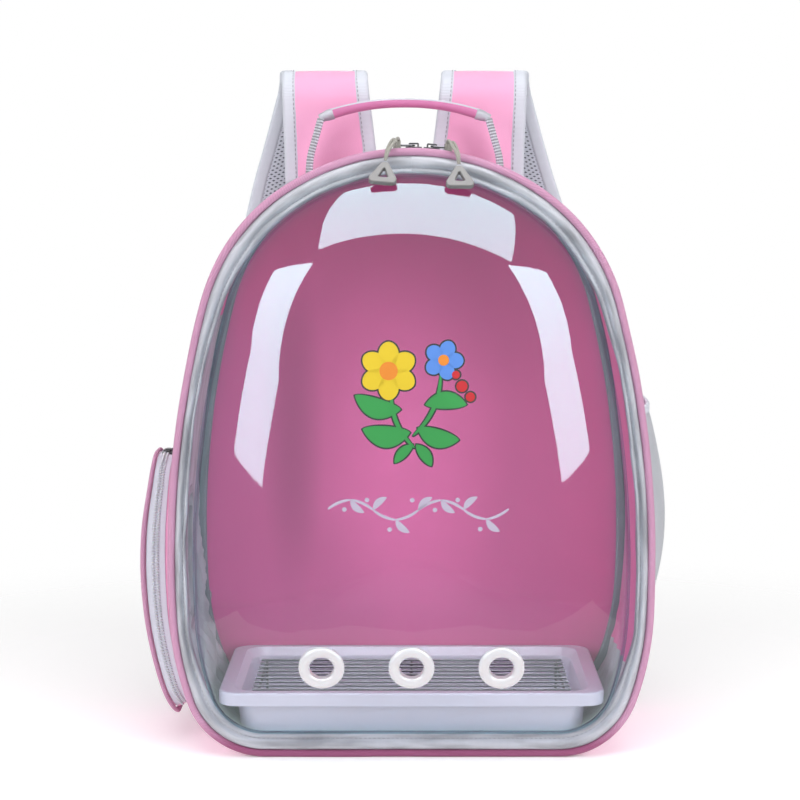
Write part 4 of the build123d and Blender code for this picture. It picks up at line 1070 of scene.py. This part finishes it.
base = slab("base_cloth", 101.8, (-74.3, 71.7), lambda x, y: 0.25 + 0.15 * np.sin(x / 9) ** 2, lambda x, y: 3.0,
            (60, 40), pink_oxford, "bag", "pink_oxford", "base_panel")
crease(base, 40)
slab("floor_liner_cloth", base_half + 14, (-68.4, 71.0), lambda x, y: 6.1, floor_lift, (140, 60), floor_cloth,
     "bag", "grey_lining", "floor_liner")
print("base and floor laid")

# %% [markdown]
# ## The zip round the door
# A coil zip is two woven tapes, each with a nylon coil sewn along its edge. From the side one
# sees a row of rounded loops, one every 2.2 mm here, and the two rows mesh in between.
# Each loop is a squashed bead turned to stand across the tape.

# %% Zip tapes and coils
def coil_axes(ahead, out):
    """For each loop of a coil, the directions across the tape, off the tape and along it."""
    across = np.tile(out, (len(ahead), 1))
    return np.stack([across, np.cross(ahead, across), ahead], 1)


zip_part = above(30.0)
for half, body, tape_y, coil_y in (("door", "door", (-74.4, -65.0), -64.05), ("body", "bag", (-60.0, -52.0), -60.95)):
    soft_band(f"{half}_tape", (1.7, 2.8), tape_y, 0.5, zip_tape_cloth, body, "zip_tape", f"{half}_zip_tape",
              seed=12, ease=0.1, part=zip_part)
    places, ahead = spaced(round_bag(np.array([2.2]), np.array([coil_y]), zip_part)[:, 0], 2.2)
    beads(f"{half}_coil", places, coil_axes(ahead, [0.0, 1.0, 0.0]), (0.93, 1.08, 0.72), coil_nylon, body,
          "zip_teeth", f"{half}_zip_teeth")
print("zip coils:", 2 * len(places), "loops")

# %% [markdown]
# ## Carrying handle
# A padded tube wrapped in cloth, with a thin piping along its upper front and a turn of tape
# round each end. A short webbing leg runs from each end down into the top seam. The legs are sewn
# in at an angle, so the lens sees them nearly edge on. Each curves from the seam up to the handle's end.

# %% Handle
HANDLE = {"y": 58.0, "middle": -5.0, "half": 62.9, "top": 455.2, "drop": 11.2, "foot": 70.9, "foot_z": 403.0}
t = np.linspace(-1, 1, 61)
grip_line = np.stack([HANDLE["middle"] + HANDLE["half"] * t, np.full_like(t, HANDLE["y"]),
                      HANDLE["top"] - HANDLE["drop"] * np.abs(t) ** 2.2], -1)
stout = 3.2 + 0.8 * t ** 2
grip = slice(4, -4)
radii = np.stack([np.full_like(t, 4.5), stout], -1)[grip, None]
strip("grip_cloth", grip_line[grip], circle(1.0, 18)[None] * radii, (0, 1, 0), pink_grip, "top_handle",
      "pink_piping", "handle_grip")
seam = grip_line + np.stack([np.zeros_like(t), np.full_like(t, -2.2), 0.82 * stout], -1)
strip("grip_piping", seam[grip], circle(0.85, 8), (0, 1, 0), grey_edge, "top_handle", "grey_binding")
for side, sign in SIDES:
    end = smooth_path(grip_line[:6] if sign < 0 else grip_line[:-7:-1], 24)
    along = np.linspace(0, 1, 24)
    girth = 4.7 + 0.1 * np.sin(along * 14) - 1.6 * (1 - along) ** 2
    girth[-1] = 4.1
    radii = np.stack([girth, 0.9 * girth], -1)[:, None]
    strip(f"grip_wrap_{side}", end, circle(1.0, 16)[None] * radii, (0, 1, 0), grey_binding, "top_handle",
          "grey_binding", f"handle_wrap_{side}")
    turn = math.radians(12.0) * sign
    middle, foot = HANDLE["middle"], HANDLE["foot"]
    leg = smooth_path([(middle + sign * foot, HANDLE["y"], HANDLE["foot_z"]),
                       (middle + sign * (foot - 1.2), HANDLE["y"], 416.0),
                       (middle + sign * (foot - 5.0), HANDLE["y"], 430.0),
                       (middle + sign * (HANDLE["half"] - 1.0), HANDLE["y"], HANDLE["top"] - HANDLE["drop"])], 26)
    webbing_leg = strip(f"handle_leg_{side}", leg, oblong(20.0, 2.4, 0.8), (math.sin(turn), math.cos(turn), 0),
                        ribbed_webbing, None, "grey_webbing", f"handle_webbing_{side}")
    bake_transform(webbing_leg)
print("handle half span:", HANDLE["half"])

# %% [markdown]
# ## Shoulder straps
# Each strap is sewn to the back near the top, rises, bends over and hangs down behind: pink cloth
# outside, spacer mesh inside where it touches the wearer, and a ribbed edging folded round both
# long edges. A strap is a ribbon: its middle line lies in y and z, and its x and its width are
# smooth functions of how far along it one is. It is a little thicker between the edgings, because
# foam swells between seams.

# %% Strap line
STRAP = {"root": (84.0, 396.0), "bend": (100.0, 459.5), "bend_radius": 16.0, "fall_radius": 3156.0, "foot": 96.0}
# Height, x and width on the way up and on the way down.
STRAP_RISES = [(376, 53.5, 71.5), (423, 55.75, 69.0), (482, 60.5, 64.0)]
STRAP_FALLS = [(486, 60.5, 64.0), (463.5, 65.0, 64.5), (423.6, 74.8, 66.5), (391.5, 84.0, 67.0),
               (350, 95.0, 67.0), (277.75, 109.0, 64.0), (180, 112.0, 62.0), (91, 112.0, 60.0)]


def strap_line(count=150):
    """Middle line (y, z), outward normal, x and width, from the root over the bend to the foot."""
    root, (bend_y, bend_z), r = STRAP["root"], STRAP["bend"], STRAP["bend_radius"]
    rise = np.stack([np.full(24, root[0]), np.linspace(root[1], bend_z, 24)], -1)
    turn = np.linspace(np.pi, 0, 26)[1:-1]
    over = np.stack([bend_y + r * np.cos(turn), bend_z + r * np.sin(turn)], -1)
    z = np.linspace(bend_z, STRAP["foot"], count - 48)
    centre = bend_y + r - STRAP["fall_radius"]
    fall = np.stack([centre + np.sqrt(STRAP["fall_radius"] ** 2 - (z - bend_z) ** 2), z], -1)
    line = np.vstack([rise, over, fall])
    ahead = unit(np.gradient(line, axis=0))
    out = np.stack([-ahead[:, 1], ahead[:, 0]], -1)
    rising = np.arange(len(line)) < len(rise) + len(over) / 2
    falls = smooth_path(STRAP_FALLS, 400)
    x, width = [np.where(rising, np.interp(line[:, 1], *np.transpose(STRAP_RISES)[[0, i]]),
                         np.interp(-line[:, 1], -falls[:, 0], falls[:, i])) for i in (1, 2)]
    return line, out, x, width


def sway_left(z):
    """Both straps hang a little to the left at the top, fading out towards their feet."""
    return -5.4 * smoothstep(z, 300, 410)


def strap_grid(sign, across, lift):
    """Points of a strap layer: across and lift are arrays over (station, section point)."""
    line, out, x, _ = strap_line()
    return np.stack([sign * (x[:, None] + across) + sway_left(line[:, 1:]), line[:, :1] + lift * out[:, :1],
                     line[:, 1:] + lift * out[:, 1:]], -1)


line, out, x, width = strap_line()
run = running(line)
for side, sign in SIDES:
    share = np.concatenate([np.linspace(-0.5, 0.5, 17), np.linspace(0.5, -0.5, 17)])
    outer = np.arange(34) < 17
    fullness = 4.6 + 1.1 * np.sqrt(np.clip(1 - (2 * share) ** 2, 0, 1))
    ripple = 0.12 * np.sin(run[:, None] / 9 + 4 * share) * (1 - (2 * share) ** 2)
    across = (width[:, None] - 8.0) * share
    lift = np.where(outer, 1.0, -1.0) * (fullness + ripple)
    pad = grid_mesh(f"strap_cloth_{side}", strap_grid(sign, across, lift), caps=True)
    made = piece(f"strap_cloth_{side}", pad, pink_oxford, "bag", "pink_oxford", f"strap_pad_{side}")
    # The spacer mesh takes the faces of the inner half of the section, and neither of the two caps.
    pad.materials.append(air_mesh)
    under = np.concatenate([np.tile(~outer, len(line) - 1), [False, False]])
    pad.polygons.foreach_set("material_index", under.astype(np.int32))
    welded(made)
    hem = oblong(11.0, 12.0, 3.0, 5)
    grids = []
    for edge in (-1, 1):
        middle = edge * (width / 2 - 5.6)
        nip = 1 + 0.012 * np.sin(run / 2.6 + edge)[:, None]
        grids.append(strap_grid(sign, middle[:, None] + hem[None, :, 0], hem[None, :, 1] * nip))
    merged(f"strap_edging_{side}", grids, grey_edge, "bag", "grey_binding", f"strap_binding_{side}")
    seam = strap_grid(sign, np.stack([-width / 2 + 8.6, width / 2 - 8.6], -1), np.full((len(line), 2), 6.1))
    normal = np.insert(out, 0, 0.0, axis=1)
    for number in (0, 1):
        points, ahead = spaced(seam[:, number], 3.4)
        at = np.linspace(0, len(out) - 1, len(points)).astype(int)
        beads(f"strap_stitches_{side}_{number}", points, bead_axes(ahead, normal[at]), (0.38, 0.3, 1.2), thread,
              "bag", "grey_binding")
print("strap length:", round(run[-1]), "mm")

# %% [markdown]
# ## Strap ends and their adjusters
# A folded webbing loop holds the ladder lock at the foot of each strap. A second webbing comes
# from a triangular tab low on the back, passes over the middle bar and hangs down as a tail.

# %% Webbing
LOCK_Y, LOCK_X = 95.0, 112.0


def over_bar(z, radius=3.1, stop=360.0):
    """An arc of the webbing's middle line round a bar in (y, z), from its left under or over it."""
    turn = np.radians(np.linspace(180.0, stop, 12))
    return np.stack([LOCK_Y + radius * np.cos(turn), z + radius * np.sin(turn)], -1)


loop_line = np.vstack([[(91.9, 95.9), (91.9, 92.0)], over_bar(88.0), [(98.1, 92.0), (98.1, 95.9)]])
tail_line = np.vstack([[(81.7, 26.5), (81.9, 31.0), (82.6, 36.0), (86.6, 42.2), (90.6, 47.2), (91.8, 53.0),
                        (91.9, 66.0)], over_bar(77.0, stop=0.0),
                       [(98.1, 70.0), (98.3, 50.0), (98.2, 30.0), (98.1, 15.5)]])
tab_width = smooth_path([(22.0, 14.2), (20.5, 26.0), (17.0, 40.0), (14.4, 53.8)], 20)
for side, sign in SIDES:
    for name, flat, node in (("end_loop", loop_line, "strap_end_loop"), ("adjuster", tail_line, "adjuster_webbing")):
        path = smooth_path(np.column_stack([np.full(len(flat), sign * LOCK_X), flat]), 90)
        strip(f"{name}_{side}", path, oblong(24.8, 1.5, 0.5), (1, 0, 0), webbing, "bag", "grey_webbing",
              f"{node}_{side}")
    tab_path = np.column_stack([np.full(20, sign * LOCK_X), np.full(20, 79.2), tab_width[:, 1]])
    section = oblong(2.0, 2.9, 1.0)[None] * np.stack([tab_width[:, 0], np.ones(20)], -1)[:, None]
    strip(f"tab_{side}", tab_path, section, (1, 0, 0), grey_edge, "bag", "grey_webbing", f"anchor_tab_{side}",
          smooth=False)
print("adjusters threaded")

# %% [markdown]
# ## Zip pocket on the left wall
# A flat pocket with its own depth: a pink side strip stands out of the wall, a piped panel closes
# it, and a coil zip runs down its front and along its top.

# %% Zip pocket
def slumped(line):
    """The pocket's top hangs lower towards the back, where nothing holds it up."""
    points, out = line
    high = np.clip((points[:, 1] - 60) / 140, 0, 1)
    return points - np.outer(17.0 * smoothstep(points[:, 0], -6, 58) * high, [0, 1]), out


def pocket_bow(z):
    """The pocket is fullest below its middle and lies closer to the wall at its top."""
    return 1 + 0.15 * bell(z, 125, 48) - 0.12 * smoothstep(z, 150, 200)


pocket_line = slumped(rounded_box((-40.0, 58.0), (30.0, 203.0), 18.0))
puff_line = slumped(rounded_box((-39.0, 57.0), (31.0, 202.0), 17.0))
wall_plate("pocket_panel_cloth", puff_line, 2.4, 19.2, 1.0, pink_oxford, "bag", "pink_oxford",
           "zip_pocket_panel", bow=pocket_bow)
cos, sin = circle(1.0, 12).T
wall_ring("pocket_piping_cloth", pocket_line, (1.2 + 1.3 * cos, 19.0 + 1.5 * sin), pink_piping, "bag",
          "pink_piping", "zip_pocket_piping", bow=pocket_bow)
wall_ring("pocket_strip_cloth", pocket_line, rounded_section((-2.3, 0.0), (0.4, 17.2), 0.8), pink_oxford, "bag",
          "pink_oxford", "zip_pocket_gusset", bow=pocket_bow)
cos, sin = circle(1.0, 8).T
wall_ring("pocket_seam_piping", pocket_line, (0.2 + cos, 1.1 + sin), pink_piping, "bag", "pink_piping")

# The zip takes the front of the strip and most of its top.
y, z = pocket_line[0].T
zipped = (y < -29) | (z > 170) & (y < 44)
zip_line = [part[zipped] for part in pocket_line]
wall_ring("pocket_tape", zip_line, rounded_section((-0.2, 0.7), (5.2, 17.0), 0.35), zip_tape_cloth, "bag",
          "zip_tape", bow=pocket_bow, closed=False)
POCKET_PITCH = 2.0
loops = []
for reach, shift in ((10.0, 0.0), (12.6, 0.5)):
    y, z = (zip_line[0] + zip_line[1]).T
    places, ahead = spaced(on_wall(-1, y, z, reach * pocket_bow(z)), POCKET_PITCH)
    loops.append((places + shift * POCKET_PITCH * ahead, coil_axes(ahead, [-1.0, 0.0, 0.0])))
beads("pocket_coil", *[np.vstack(rows) for rows in zip(*loops)], (1.35, 1.0, 0.66), coil_nylon, "bag", "zip_teeth",
      "zip_pocket_teeth")
print("pocket zip:", zipped.sum(), "stations")

# %% [markdown]
# ## Mesh pocket on the right wall
# A net sheet gathered on an elastic hem. It stands out of the wall most at half its height and
# comes back in at the mouth, where the elastic pulls it.

# %% Mesh pocket
NET = {"y": (-50.0, 62.0), "z": (98.0, 236.0), "hem_z": 238.6, "bulge": 15.68, "mouth": 7.2}
along, up = np.meshgrid(np.linspace(0, 1, 70), np.linspace(0, 1, 60), indexing="ij")
y = NET["y"][0] + (NET["y"][1] - NET["y"][0]) * along
z = NET["z"][0] + (NET["z"][1] - NET["z"][0]) * up
side_fall = (1 - np.abs(2 * along - 1) ** 3.5) ** 0.7
belly = np.abs(np.sin(np.pi * up)) ** 0.8
gathers = 0.35 * np.sin(along * 2 * np.pi * 13) * up ** 4
net_reach = 0.5 + side_fall * (NET["bulge"] * belly * (1 - 0.35 * up) + NET["mouth"] * up ** 3) + gathers
faces = [on_wall(1, y, z, reach) for reach in (net_reach, net_reach - 0.35)]
net_piece = surface("pocket_net", there_and_back(*faces), pocket_net, "bag", "grey_mesh", "mesh_pocket", caps=True)
hem_line = on_wall(1, y[:, -1], NET["hem_z"], net_reach[:, -1] - 0.2)
strip("net_hem", hem_line, oblong(2.6, 7.0, 1.1), (1, 0, 0), grey_edge, "bag", "grey_binding", "mesh_pocket_hem")
# The tape runs down the front side, along the foot and up the back side of the net.
tape_y, tape_z = [np.concatenate([a[0, ::-1], a[1:-1, 0], a[-1]]) for a in (y, z)]
strip("net_seam_tape", on_wall(1, tape_y, tape_z, 0.9), oblong(1.6, 7.0, 0.6), (1, 0, 0), grey_edge, "bag",
      "grey_binding")
print("net:", len(net_piece.data.polygons))

# %% [markdown]
# ## Cords of the pulls
# Each soft pull hangs from its ring on a doubled cord tied in a lark's head. Two thin round
# strands lie side by side, and the knot is the same cord wrapped round the ring's wire.

# %% Pull cords
SLIDER_TURN = {"left": 0.548, "right": 4.935}
TOP_RADIUS = CHAIN[0][0]


def on_arc(points, side):
    """Turns points about the centre of the top arc, as the sliders ride on it."""
    turn, centre = math.radians(SLIDER_TURN[side]), SIZE["height"] - TOP_RADIUS
    x, y, z = np.moveaxis(np.asarray(points, float), -1, 0)
    z = z - centre
    return np.stack([x * math.cos(turn) + z * math.sin(turn), y,
                     centre + z * math.cos(turn) - x * math.sin(turn)], -1)


PULL_ROUTE = [(11.45, -64.4, 424.3), (12.2, -70.0, 426.0), (13.45, -76.5, 425.0), (15.6, -81.6, 421.6),
              (17.6, -85.1, 417.4), (19.0, -85.9, 411.2)]
RING = {"x": 11.45, "y": -64.4, "z": 421.75}
for side, sign in SIDES:
    path = smooth_path(np.array(PULL_ROUTE) * [sign, 1, 1], 40)
    across = unit(np.cross(np.gradient(path, axis=0), [0.3 * sign, -0.6, 0.75]))
    ply = 1.35 * np.sin(np.linspace(0.35, 1.0, 40) * np.pi)[:, None] + 0.15
    strands = [on_arc(carried(path + w * ply * across, circle(1.05, 10), across), side) for w in (-1, 1)]
    merged(f"pull_strands_{side}", strands, cord_braid, f"pull_{side}", "pull_cord", f"pull_cord_{side}")
    turn = np.linspace(0, 2 * np.pi, 26, endpoint=False)
    wraps = []
    for shift, radius in ((-1.6, 2.5), (1.6, 2.5), (0.0, 3.4)):
        ring_path = np.stack([np.full(26, sign * RING["x"] + shift), RING["y"] + radius * np.cos(turn),
                              RING["z"] + radius * np.sin(turn)], -1)
        wraps.append(on_arc(carried(ring_path, circle(1.1, 10), (1, 0, 0), closed=True), side))
    merged(f"knot_wraps_{side}", wraps, cord_braid, f"slider_{side}", "pull_cord", f"cord_knot_{side}",
           closed=(True, True), caps=False)
print("cords tied")

# %% [markdown]
# ## Back pads
# Two foam pads lie against the wearer's back. Each starts as a thin plate with the pad's outline,
# is cut into even voxels, and a cloth simulation blows it up a little from inside, with no
# gravity. A cap on how far a point may go keeps it clear of the straps, and its back stays flat
# on the panel. The outline of a pad is a rounded rectangle, and each ring of its shell is that
# outline scaled by the first number at the depth y of the second.

# %% Back pads
def taken(made):
    """The shape of an object as its modifiers leave it, put into its mesh."""
    graph = bpy.context.evaluated_depsgraph_get()
    shape = bpy.data.meshes.new_from_object(made.evaluated_get(graph))
    made.modifiers.clear()
    made.data = shape
    return made


def swollen(made, voxel, pressure, cap, floor_y):
    """Blows a closed mesh up with a short cloth simulation; floor_y is the plane that it rests on."""
    cut = made.modifiers.new("even cells", "REMESH")
    cut.mode, cut.voxel_size = "VOXEL", voxel * MM
    taken(made)
    start = np.array([v.co for v in made.data.vertices])
    blow = made.modifiers.new("blow", "CLOTH")
    blow.settings.use_pressure = True
    blow.settings.uniform_pressure_force = pressure
    blow.settings.effector_weights.gravity = 0
    for number in range(1, 21):
        bpy.context.scene.frame_set(number)
    taken(made)
    move = np.array([v.co for v in made.data.vertices]) - start
    far = np.linalg.norm(move, axis=1, keepdims=True)
    end = start + move * np.minimum(1, cap * MM / np.maximum(far, 1e-9))
    end[:, 1] = np.maximum(end[:, 1], floor_y * MM)
    made.data.vertices.foreach_set("co", end.ravel())
    made.data.polygons.foreach_set("use_smooth", np.ones(len(made.data.polygons), bool))
    bpy.context.scene.frame_set(1)
    return made


PAD_RINGS = [(0.0, 78.0), (0.93, 78.0), (0.985, 78.0), (1.0, 80.0), (1.0, 82.5), (0.975, 84.6), (0.9, 85.6),
             (0.5, 86.0), (0.0, 86.0)]
pad_line = oblong(71.0, 267.0, 19.0, 9)
for side, sign in SIDES:
    centre = np.array([sign * 43.0, 207.0])
    shell = np.stack([standing(centre + k * pad_line, y) for k, y in PAD_RINGS], 1)
    pad = surface(f"back_pad_cloth_{side}", shell, pad_mesh, "bag", "air_mesh", f"back_pad_{side}",
                  closed=(True, False))
    swollen(pad, voxel=5.0, pressure=4.0, cap=2.0, floor_y=77.8)
    strip(f"back_pad_piping_{side}", standing(centre + pad_line, 79.4), circle(1.5, 8), (0, 1, 0), grey_edge, "bag",
          "grey_binding", closed=True)
print("back pads:", len(pad.data.polygons), "faces each")

# %% [markdown]
# ## The print on the dome
# A cheerful sprig and a wavy vine are printed on the clear sheet. Each petal or leaf is drawn as a
# spindle in (x, z): its half width is w * (4 t (1 - t))^p along its length, where p of 0.5 gives
# an ellipse and a larger p a pointed leaf. It is 0.12 mm thick and lies a fraction of a
# millimetre off the dome's skin, over a slightly larger dark one that shows as its outline.

# %% Print
INK_THICKNESS, PRINT_CREASE = 0.12, 20


def on_dome(x, z, lift):
    """Points in front of the dome's outer skin at (x, z)."""
    edge = rim - DOME["rim"] * rim_out - np.array([0.0, DOME["centre"]])
    turn = np.arctan2(edge[:, 0], edge[:, 1])
    order = np.argsort(turn)
    reach = np.interp(np.arctan2(x, z - DOME["centre"]), turn[order], np.hypot(*edge.T)[order], period=2 * np.pi)
    y = DOME["flange_y"] - dome_profile(np.hypot(x, z - DOME["centre"]) / reach)
    return np.stack([x, y - lift, z], -1)


def both_skins(flat, lift):
    """The front and the back of a film of ink that lies over pairs (x, z)."""
    return there_and_back(*[on_dome(*np.moveaxis(flat, -1, 0), at) for at in (lift, lift - INK_THICKNESS)])


def spindle(start, end, half, power=0.75, bend=0.0, grow=0.0, lift=0.2, count=26):
    """A closed thin petal between two points of the drawing; grow makes it larger all round."""
    start, end = np.asarray(start, float), np.asarray(end, float)
    ahead = (end - start) / np.linalg.norm(end - start)
    side = np.array([-ahead[1], ahead[0]])
    start, end = start - grow * ahead, end + grow * ahead
    t = (1 - np.cos(np.linspace(0.001, np.pi - 0.001, count))) / 2
    middle = start + t[:, None] * (end - start) + (bend * 4 * t * (1 - t))[:, None] * side
    width = (half + grow) * (4 * t * (1 - t)) ** power
    return both_skins(middle[:, None] + np.outer(width, np.linspace(-1, 1, 9))[..., None] * side, lift)


def flower(centre, petals, reach, half, start=0.0):
    """Petals round a centre, from near it out to reach."""
    turns = np.radians(start + 360.0 / petals * np.arange(petals))
    return [(centre + 0.16 * reach * way, centre + reach * way, half, 0.55, 0.0)
            for way in np.stack([np.sin(turns), np.cos(turns)], -1)]


def dot(centre, radius):
    """A round spot as a short fat spindle."""
    c = np.array(centre, float)
    return (c - [0, radius], c + [0, radius], radius, 0.5, 0.0)


ink = {key: moulded(f"{key} ink", code, 0.4, grain=0.8, mottling=0.02, bump=0.004)
       for key, code in (("green", "2A7F3E"), ("yellow", "C8AE28"), ("orange", "C97A2B"), ("blue", "4F7CC4"),
                         ("red", "A82329"), ("dark", "101415"), ("pale", "A8A0B4"))}
drawing = {
    "green": [((2, 224), (-13, 262), 1.3, 0.3, 5.0), ((1, 232), (19, 272), 1.2, 0.3, -5.0),
              ((-1, 234), (-32, 236), 7.0, 0.8, 4.0), ((4, 237), (31, 229), 6.0, 0.8, -3.0),
              ((-7, 249), (-37, 258), 6.5, 0.8, 4.0), ((9, 252), (36, 252), 5.5, 0.8, 3.0),
              ((3, 226), (13, 212), 3.6, 0.8, 1.0), ((1, 226), (-11, 214), 3.2, 0.8, -1.0)],
    "yellow": flower((-15, 274), 6, 19.0, 6.6),
    "blue": flower((21, 281), 5, 13.0, 5.0, 20.0),
    "red": [dot((33, 264), 3.6), dot((38.5, 257), 3.0), dot((29, 271.5), 2.6)],
    "orange": [dot((-15, 274), 6.0), dot((21, 281), 3.6)],
}
outlines = [spindle(*shape, grow=1.1) for shapes in drawing.values() for shape in shapes]
crease(merged("print_outline", outlines, ink["dark"], "door", None), PRINT_CREASE)
for layer, (key, shapes) in enumerate(drawing.items()):
    petals = [spindle(*shape, lift=0.3 + 0.03 * layer) for shape in shapes]
    crease(merged(f"print_{key}", petals, ink[key], "door", None), PRINT_CREASE)
t = np.linspace(0, 1, 9)
knots = np.stack([-55 + 119 * t, 183 + 6.5 * np.sin(t * 4 * np.pi)], -1)
vine = [spindle(a, b, 0.95, 0.22, bend) for a, b, bend in zip(knots[:-1], knots[1:], (1.2, 1.2, -1.2, -1.2) * 2)]
for number, (x, z) in enumerate(knots[1:-1]):
    up = 1 if number % 2 else -1
    vine += [spindle((x, z), (x + 9, z + up * 8.5), 2.3, 0.8, up * 1.2), spindle(*dot((x - 4, z + up * 6.5), 1.5))]
crease(merged("print_vine", vine, ink["pale"], "door", None), PRINT_CREASE)
print("print:", len(outlines) + len(vine), "shapes")

# %% [markdown]
# ## What is soft
# The lining is one long strip round the walls and the top, with the window cut out of it.

print("soft pieces made")

# %% [markdown]
# ## Hard parts
# Eyelets, tray, grid, sliders, pulls and locks keep their CAD mesh. Each only gets its finish.

# %% Rigid pieces that keep their CAD mesh
finishes = {
    white_plastic: ["vent_eyelet_left", "vent_eyelet_centre", "vent_eyelet_right", "eyelet_washers"],
    tray_plastic: ["dropping_tray"],
    wire_steel: ["standing_grid", "grid_cross_wires"],
    gunmetal: ["zip_slider_left", "zip_slider_right", "slider_ring_left", "slider_ring_right",
               "zip_pocket_slider", "zip_pocket_pull"],
    pull_rubber: ["pull_tab_left", "pull_tab_right"],
    buckle_plastic: ["ladder_lock_left", "ladder_lock_right"],
    stiff_board: ["base_board"],
}
for material, names in finishes.items():
    for name in names:
        nodes[name].data.materials.clear()
        nodes[name].data.materials.append(material)
print("rigid pieces dressed:", sum(map(len, finishes.values())))
